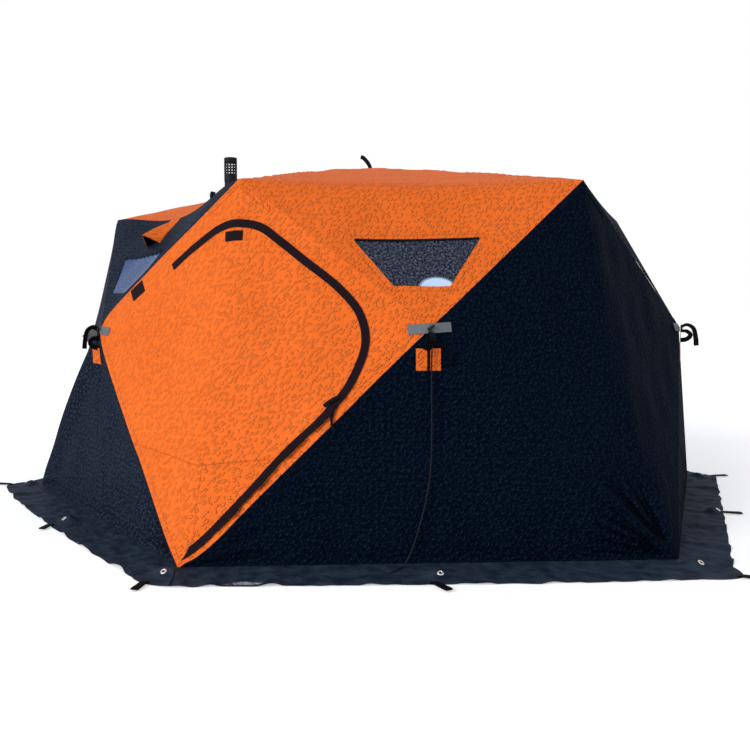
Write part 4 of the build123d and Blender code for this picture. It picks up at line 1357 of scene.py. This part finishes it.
# Sleeves for the pole ends beside the eaves, and patches over the hubs
SLEEVE_WIDTH = 0.028
SLEEVE_LENGTH = 0.205
TRIM_LIFT = 0.0022
TRIM_CLOTH = 0.0018
HUB_PATCH = 0.058
PATCH = [(0.0, 0.004), (HUB_PATCH - 0.003, HUB_PATCH), (-HUB_PATCH + 0.003, HUB_PATCH)]
patch_sides = sides_of(PATCH)
for label, face, slot, corners, walls in (
    ("orange", ORANGE, "orange_quilt", [DOOR_CORNER], ORANGE_WALLS),
    ("black", BLACK, "black_quilt", [1, 2, 3, 4], [1, 2, 4]),
    ("painted_sheen", PAINTED_SHEEN_BLACK, "black_quilt", [PAINTED_SHEEN_SIDE], [PAINTED_SHEEN_SIDE]),
):
    sleeves = []
    for corner in corners:
        cut = CORNER[corner]
        top = np.array([0.0, cut.length])
        for end, edges in (
            (cut.outline[1], (0.002, SLEEVE_WIDTH)),
            (cut.outline[3], (-SLEEVE_WIDTH, -0.002)),
        ):
            seam = unit(end - top)
            start = top + seam * 0.020 - np.array([0, 0.008])
            line = start + seam * np.linspace(0, SLEEVE_LENGTH, 14)[:, None]
            sleeves.append(strip_on(cut, line, *edges, TRIM_LIFT))
    declare(bands(label + "_eave_sleeves", sleeves, [face], TRIM_CLOTH), [])
    patches = cloth(
        label + "_hub_patches",
        [(UPPER[w], PATCH, [], []) for w in walls],
        [face],
        TRIM_CLOTH,
        0.010,
        TRIM_LIFT,
        hem_of=lambda p: gap_to(p, patch_sides) + NARROW_HEM,
    )
    declare(patches, [])

# At each hub: a reflective strip over the ridge, a toggle on it, straps, and a tab for the rope below
STRIP_LENGTH = 0.190
STRIP_WIDTH = 0.042
STRIP_LIFT = 0.0050
STRIP_TILTS = [3.5, -2.0, 2.0, -3.0, 2.5, -6.0]
LOOSE_STRIPS = [5]
LOOSE_STRAP_DROP = 0.026
STRAP_TWISTS = [(0, 0), (30, 85), (20, 80), (35, 75), (25, 85), (60, 90)]
STRAP_WIDTH = 0.025
TAB_MIDDLE = -0.010
TAB = [
    (-0.0635, -0.181),
    (0.043, -0.181),
    (0.043, -0.086),
    (0.004, -0.086),
    (TAB_MIDDLE, -0.108),
    (-0.024, -0.086),
    (-0.0635, -0.086),
]
HANGING_STRAP = [
    (0, 0.0, 0.010),
    (0, 0.014, 0.038),
    (0, -0.004, 0.070),
    (0, -0.052, 0.083),
    (0, -0.100, 0.088),
]
FRONT_STRAP = [
    (-0.027, -0.090, 0.012),
    (-0.012, -0.076, 0.034),
    (0.025, -0.068, 0.048),
    (0.066, -0.086, 0.046),
    (0.080, -0.116, 0.034),
    (0.067, -0.152, 0.024),
]
FOLDED_STRAP = [
    (0, -0.020, 0.008),
    (0, -0.022, 0.040),
    (0, -0.042, 0.058),
    (0, -0.064, 0.040),
    (0, -0.070, 0.010),
]


def hub_ways(wall):
    """The ways to the right, up and out at a hub, as someone sees them who faces that wall."""
    return ring(1, wall_angle(wall) + 90, 0), UP, ring(1, wall_angle(wall), 0)


def hub_strip(wall):
    side, up, out = hub_ways(wall)
    tilt = math.radians(STRIP_TILTS[wall])
    normals = [FACETS[kind, wall].out for kind in ("upper", "lower", "left", "right")]
    rows = []
    for along in np.linspace(-STRIP_LENGTH / 2, STRIP_LENGTH / 2, 25):
        row = []
        for over in np.linspace(STRIP_WIDTH / 2, -STRIP_WIDTH / 2, 7):
            flat = (along * math.cos(tilt) - over * math.sin(tilt)) * side
            flat = flat + (along * math.sin(tilt) + over * math.cos(tilt)) * up
            reach = min(-(normal @ flat) / (normal @ out) for normal in normals)
            point = hub(wall) + flat + (reach + STRIP_LIFT) * out
            if wall in LOOSE_STRIPS and along < -0.006:
                away = unit(0.75 * out - 0.52 * up - 0.40 * side)
                point = hub(wall) + STRIP_LIFT * out - along * away + over * unit(0.85 * up + 0.50 * out)
            row.append(point)
        rows.append(row)
    return np.array(rows)


strips, straps, tabs, tab_tapes, toggles = [], [], [], [], []
for wall in range(SIDES):
    side, up, out = hub_ways(wall)
    axes = np.array([side, up, out])
    strips.append(hub_strip(wall))
    shape = FRONT_STRAP if wall == ROPE_WALL else HANGING_STRAP
    across = unit(out + 0.6 * up) if wall == ROPE_WALL else side
    strap_width = STRAP_WIDTH * (0.8 if wall == ROPE_WALL else 1)
    straps.append(ribbon(hub(wall) + np.array(shape) @ axes, strap_width, across, STRAP_TWISTS[wall]))
    folded = np.array(FOLDED_STRAP) - [0, LOOSE_STRAP_DROP if wall in LOOSE_STRIPS else 0, 0]
    straps.append(ribbon(hub(wall) + folded @ axes, STRAP_WIDTH, side, STRAP_TWISTS[wall]))
    tail = np.stack([np.linspace(0, TAB_MIDDLE, 12), np.linspace(-0.004, -0.088, 12)], 1)
    straps.append(strip_on(LOWER[wall], tail, -0.007, 0.007, np.linspace(0.011, 0.006, 12)[:, None]))
    tabs.append((LOWER[wall], TAB, [], []))
    if wall == ROPE_WALL:
        tape = np.stack([np.full(10, TAB_MIDDLE), np.linspace(-0.098, -0.184, 10)], 1)
        tab_tapes.append(strip_on(LOWER[wall], tape, -0.006, 0.006, 0.0068))
    middle = hub(wall) + 0.014 * out + 0.004 * up
    bar = unit(side + 0.55 * up) * 0.018
    rod = [middle + bar * t for t in (-1, -0.85, 0, 0.85, 1)]
    toggles.append((rod, [0.003, 0.0055, 0.0065, 0.0055, 0.003]))
    toggles.append(([middle - 0.022 * up, middle - 0.010 * up, middle], [0.005, 0.0055, 0.0045]))
declare(bands("hub_strip_tapes", strips, [TAPE], 0.0012), ["hub_strips"])
straps = bands("hub_strap_webbing", straps, [WEBBING], 0.002)
declare(straps, ["hub_straps"])
tabs = cloth("rope_tab_cloths", tabs, [ORANGE], 0.002, 0.014, 0.0044)
declare(tabs, ["rope_tabs"])
declare(bands("rope_tab_webbing", tab_tapes, [WEBBING], 0.0012), [])
set_on(round_bars("hub_toggles", toggles, NYLON), [])

# Roof strap, a doubled tab on the top, and a small doubled tab on two of the eaves
DOUBLED_WEBBING = 0.005
ROOF_TAB = [(-0.004, -0.004), (0.012, 0.028), (0.034, 0.056), (0.052, 0.072), (0.066, 0.076)]
lean = -ring(1, wall_angle(1), 0)
tab_line = [ROOF_TOP + lean * reach + UP * rise for reach, rise in ROOF_TAB]
roof_tab = ribbon(tab_line, STRAP_WIDTH, np.cross(lean, UP), (75, 88))
roof_tab = bands("roof_strap_webbing", [roof_tab], [WEBBING], DOUBLED_WEBBING)
declare(roof_tab, ["roof_strap"])
EAVE_TAB_AT = (0.505, 0.808)
EAVE_TAB = [(0.003, -0.014), (0.005, 0.002), (0.003, 0.014), (-0.002, 0.022)]
LOOP_WIDTH = 0.028
eave_tabs = []
for wall in VENT_WALLS:
    side, up, out = hub_ways(wall)
    at = UPPER[wall].place(np.array([EAVE_TAB_AT]))[0]
    tab_line = [at + reach * out + rise * up for reach, rise in EAVE_TAB]
    eave_tabs.append(ribbon(tab_line, LOOP_WIDTH, side - 0.6 * out))
eave_tabs = bands("eave_tab_webbing", eave_tabs, [WEBBING], DOUBLED_WEBBING)
declare(eave_tabs, [])

# Cups on the pole ends
POLE_INSET = 0.0108
CUP_RADIUS = 0.0098
CUP_STEPS = (0.052, 0.056, 0.078, 0.100, 0.112)
foot_cups, eave_cups = [], []
for wall in range(SIDES):
    after = (wall + 1) % SIDES
    before = (wall - 1) % SIDES
    for cups, tip, end, first, second in (
        (foot_cups, hub(wall), foot(wall), ("lower", wall), ("left", wall)),
        (foot_cups, hub(wall), foot(after), ("lower", wall), ("right", wall)),
        (eave_cups, hub(wall), eave(wall), ("upper", wall), ("left", wall)),
        (eave_cups, hub(wall), eave(after), ("upper", wall), ("right", wall)),
        (eave_cups, ROOF_TOP, eave(wall), ("roof", wall), ("roof", before)),
    ):
        inside = -unit(FACETS[first].out + FACETS[second].out)
        inset = inside * POLE_INSET / -(inside @ FACETS[first].out)
        run = unit(tip - end)
        cup = [end + inset + inside * 0.004 + run * along for along in CUP_STEPS]
        cups.append((cup, [0.0065, CUP_RADIUS, CUP_RADIUS, CUP_RADIUS, 0.0072]))
set_on(round_bars("foot_pole_cups", foot_cups, NYLON), ["foot_pockets"])
set_on(round_bars("eave_pole_cups", eave_cups, NYLON), ["eave_pockets"])

# The skirt: how far it reaches along each wall, from its left end to its right one, and at each corner
APOTHEM = FOOT_RADIUS * math.cos(math.pi / SIDES)
SKIRT_REACH = [
    [0.245, 0.252, 0.262, 0.270, 0.276, 0.272, 0.262],
    [0.212, 0.206, 0.202, 0.196, 0.190, 0.182, 0.176],
    [0.190, 0.215, 0.235, 0.245, 0.250, 0.245, 0.240],
    [0.240, 0.250, 0.258, 0.260, 0.255, 0.250, 0.245],
    [0.245, 0.252, 0.250, 0.250, 0.235, 0.195, 0.135],
    [0.225, 0.255, 0.262, 0.258, 0.250, 0.232, 0.206],
]
SKIRT_CORNER = [0.232, 0.282, 0.190, 0.255, 0.255, 0.215]
SKIRT_LEVEL = 0.0032
SKIRT_TUCK = 0.004
SKIRT_ACROSS = np.array(
    [0, 0.02, 0.05, 0.09, 0.14, 0.2, 0.28, 0.36, 0.45, 0.54, 0.63, 0.72, 0.8, 0.87, 0.93, 0.97, 1.0]
)
WALL_EYELET = 0.1453
CORNER_EYELET = 0.078
EYELET_OUT = 0.018
EYELET_HUMP = 0.028
HEM_WAVE = 0.0035
HEM_FOLD = 0.015
WALL_FOLD = 0.006

skirt_rows = []
for wall in range(SIDES):
    side, up, out = hub_ways(wall)
    half = FOOT_RADIUS / 2
    for along in np.linspace(-half, half, 130):
        reach = np.interp(along, np.linspace(-half, half, 7), SKIRT_REACH[wall])
        skirt_rows.append((out * (APOTHEM - SKIRT_TUCK) + side * along, out, reach))
    after = (wall + 1) % SIDES
    ends = [SKIRT_REACH[wall][-1], SKIRT_CORNER[after], SKIRT_REACH[after][0]]
    for share in np.linspace(0, 1, 18)[1:-1]:
        way = ring(1, wall_angle(wall) + 60 * share, 0)
        skirt_rows.append((foot(after) - way * SKIRT_TUCK, way, np.interp(share, [0, 0.5, 1], ends)))
starts, ways, reaches = (np.array(column) for column in zip(*skirt_rows))
middles = starts + ways * 0.12
travel = np.concatenate([[0], np.cumsum(np.linalg.norm(np.diff(middles, axis=0), axis=1))])
around = travel[-1] + np.linalg.norm(middles[0] - middles[-1])
chance = np.random.default_rng(7)


def folds_round(least, most, slew):
    """A wavy number round the skirt, about -1 to 1, that joins up where it began; slew slants its folds."""
    total = np.zeros((len(travel), len(SKIRT_ACROSS)))
    for _ in range(7):
        turns_round = 2 * math.pi * round(around / chance.uniform(least, most))
        phase, lean_by = chance.uniform(0, 2 * math.pi), chance.uniform(-slew, slew)
        total += np.sin(turns_round * travel[:, None] / around + phase + lean_by * SKIRT_ACROSS[None, :])
    return total / 3


hem_folds = folds_round(0.12, 0.5, 1.5)
wall_folds = folds_round(0.16, 0.6, 0.5)
hem_wave = folds_round(0.10, 0.35, 0.0)
share = SKIRT_ACROSS[None, :]
reach = (reaches + HEM_WAVE * hem_wave[:, -1])[:, None] * share
skirt = starts[:, None] + ways[:, None] * reach[..., None]
calm = np.ones(reach.shape)
hump = np.zeros(reach.shape)
eyelet_places = []
for index in range(SIDES):
    for angle, radius in (
        (wall_angle(index), APOTHEM + WALL_EYELET + EYELET_OUT),
        (corner_angle(index), FOOT_RADIUS + CORNER_EYELET + EYELET_OUT),
    ):
        way = ring(1, angle, 0)
        off = skirt - way * radius
        outward_by, sideways = off @ way, off @ ring(1, angle + 90, 0)
        near = np.exp(-((sideways / 0.055) ** 2))
        calm *= 1 - 0.9 * np.exp(-((sideways / 0.08) ** 2 + (outward_by / 0.08) ** 2))
        hump += EYELET_HUMP * near * ease(-0.075, -0.028, outward_by) * (1 - ease(-0.028, 0.036, outward_by))
        eyelet_places.append((way, radius))
height = SKIRT_LEVEL + 0.004 * (1 - share) ** 9
height = height + calm * (HEM_FOLD * np.maximum(hem_folds, 0) * share**0.8 * (1 - 0.35 * share))
height = height + calm * WALL_FOLD * np.exp(-(((share - 0.17) / 0.10) ** 2)) * np.maximum(wall_folds, 0)
skirt[..., 2] = np.maximum(height, hump + SKIRT_LEVEL)
skirt_made = bands("snow_skirt_cloth", [skirt], [SKIRT_CLOTH], 0.0012, closed=True)
declare(skirt_made, ["snow_skirt", "skirt_corners"])

# Frost left on the skirt: the wall, the place along it and out from it, and the size each way
FROST = [
    (0, -0.800, 0.212, 0.060, 0.030),
    (0, -0.745, 0.222, 0.030, 0.018),
    (0, -0.906, 0.169, 0.016, 0.010),
    (0, -0.867, 0.221, 0.018, 0.010),
    (5, 0.457, 0.236, 0.016, 0.010),
]
frost = np.zeros(skirt.shape[0] * skirt.shape[1])
for wall, along, out_by, long, wide in FROST:
    side, up, out = hub_ways(wall)
    off = skirt.reshape(-1, 3) - out * (APOTHEM + out_by) - side * along
    frost = np.maximum(frost, np.exp(-0.6 * ((off @ side / long) ** 2 + (off @ out / wide) ** 2)))
mark_points(skirt_made[0].data, "frost", np.concatenate([frost, frost]))

# Eyelets, pressed into the skirt where it stands up a little
EYELET_PROFILE = [
    (0.0062, -0.006),
    (0.0064, 0.0012),
    (0.0085, 0.0028),
    (0.0115, 0.0026),
    (0.0140, 0.0006),
    (0.0142, -0.006),
]
EYELET_TILT = math.radians(33)
eyelets = []
for way, radius in eyelet_places:
    axis = math.cos(EYELET_TILT) * UP + math.sin(EYELET_TILT) * way
    eyelets.append((way * radius + UP * (SKIRT_LEVEL + 0.40 * EYELET_HUMP) + axis * 0.0042, axis))
set_on(turned_rings("skirt_eyelets", eyelets, EYELET_PROFILE, PLATED), ["eyelets"])

# Peg loops: folded webbing that lies out from the hem
PEG_OUT = [-0.030, 0.0, 0.045, 0.078, 0.086, 0.078, 0.040, 0.004, -0.026]
PEG_RISE = [0.005, 0.006, 0.0055, 0.006, 0.0095, 0.0135, 0.013, 0.0125, 0.010]
PEG_TURNS = [23, 8, -12, 6, -10, 48, 14, 24, 5, -14, 9, -12]
PEG_SHIFTS = [-0.038, 0.0, 0.01, -0.01, 0.01, 0.055]
loops = []
for index in range(SIDES):
    for angle, radius, bend, shift in (
        (wall_angle(index), APOTHEM + SKIRT_REACH[index][3], PEG_TURNS[index], PEG_SHIFTS[index]),
        (corner_angle(index), FOOT_RADIUS + SKIRT_CORNER[index], PEG_TURNS[index + SIDES], 0.0),
    ):
        heading = ring(1, angle + bend, 0)
        at = ring(1, angle, 0) * (radius + 0.002) + ring(1, angle + 90, 0) * shift
        path = [at + heading * out_by + UP * rise for out_by, rise in zip(PEG_OUT, PEG_RISE)]
        loops.append(ribbon(path, LOOP_WIDTH, np.cross(UP, heading)))
loops = bands("peg_loop_webbing", loops, [WEBBING], 0.002)
declare(loops, ["peg_loops"])

# Floor, light and background
FLOOR = 60.0
floor_mesh = bpy.data.meshes.new("floor")
floor_corners = [(-FLOOR, -FLOOR, 0), (FLOOR, -FLOOR, 0), (FLOOR, FLOOR, 0), (-FLOOR, FLOOR, 0)]
floor_mesh.from_pydata(floor_corners, [], [(0, 1, 2, 3)])
floor_paint, tree = blank("pale_floor")
camera_ray = put(tree, "LightPath", out="Is Camera Ray")
matt = put(tree, "BsdfDiffuse", {"Color": linear("#F2F2F2")})
lit = put(tree, "Math", {0: camera_ray, 1: 0.42}, operation="MULTIPLY")
glow = put(tree, "Emission", {"Color": (1, 1, 1, 1), "Strength": lit})
put(tree, "OutputMaterial", {"Surface": put(tree, "AddShader", {0: matt, 1: glow})})
floor_mesh.materials.append(floor_paint)
added("floor", floor_mesh)

world = bpy.data.worlds.new("studio")
scene.world = world
world.use_nodes = True
tree = world.node_tree
tree.nodes.clear()
camera_ray = put(tree, "LightPath", out="Is Camera Ray")
rays = camera_ray.node.outputs
seen = put(tree, "Math", {0: camera_ray, 1: rays["Is Glossy Ray"]}, operation="MAXIMUM")
seen = put(tree, "Math", {0: seen, 1: rays["Is Transmission Ray"]}, operation="MAXIMUM")
white = put(tree, "Background", {"Color": (1, 1, 1, 1), "Strength": 1.0})
soft = put(tree, "Background", {"Color": linear("#F4F7FF"), "Strength": 0.55})
put(tree, "OutputWorld", {"Surface": put(tree, "MixShader", {0: seen, 1: soft, 2: white})})


def lamp(kind, name, at, towards, strength):
    """A lamp at a place, which shines towards a given way."""
    data = bpy.data.lights.new(name, kind)
    data.energy = strength
    made = added(name, data)
    made.location = at
    made.rotation_euler = Vector(towards).to_track_quat("-Z", "Y").to_euler()
    made.visible_camera = False
    return data


# A broad key from the left, a faint fill, and a low panel for the light that pale ground throws up
lamp("SUN", "key", (0, 0, 5), (0.76, 0.62, -0.42), 1.9).angle = math.radians(30)
lamp("SUN", "fill", (0, 0, 5), (-0.6, 0.7, -0.5), 0.06).angle = math.radians(60)
panel = lamp("AREA", "low_panel", (-2.8, -3.6, 0.30), (0.68, 0.70, 0.02), 13)
panel.shape = "RECTANGLE"
panel.size = 2.4
panel.size_y = 0.6

CAD_FINISHES = {
    "roof_poles": FIBREGLASS,
    "wall_hubs": NYLON,
    "roof_hub": NYLON,
    "stove_pipe": HEAT_PAINT,
    "spark_arrestor": HEAT_PAINT,
}
CAD_FINISHES.update({name + "_wall_poles": FIBREGLASS for name in WALL_NAMES})
for node, finish in CAD_FINISHES.items():
    for material_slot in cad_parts[node].material_slots:
        material_slot.material = finish
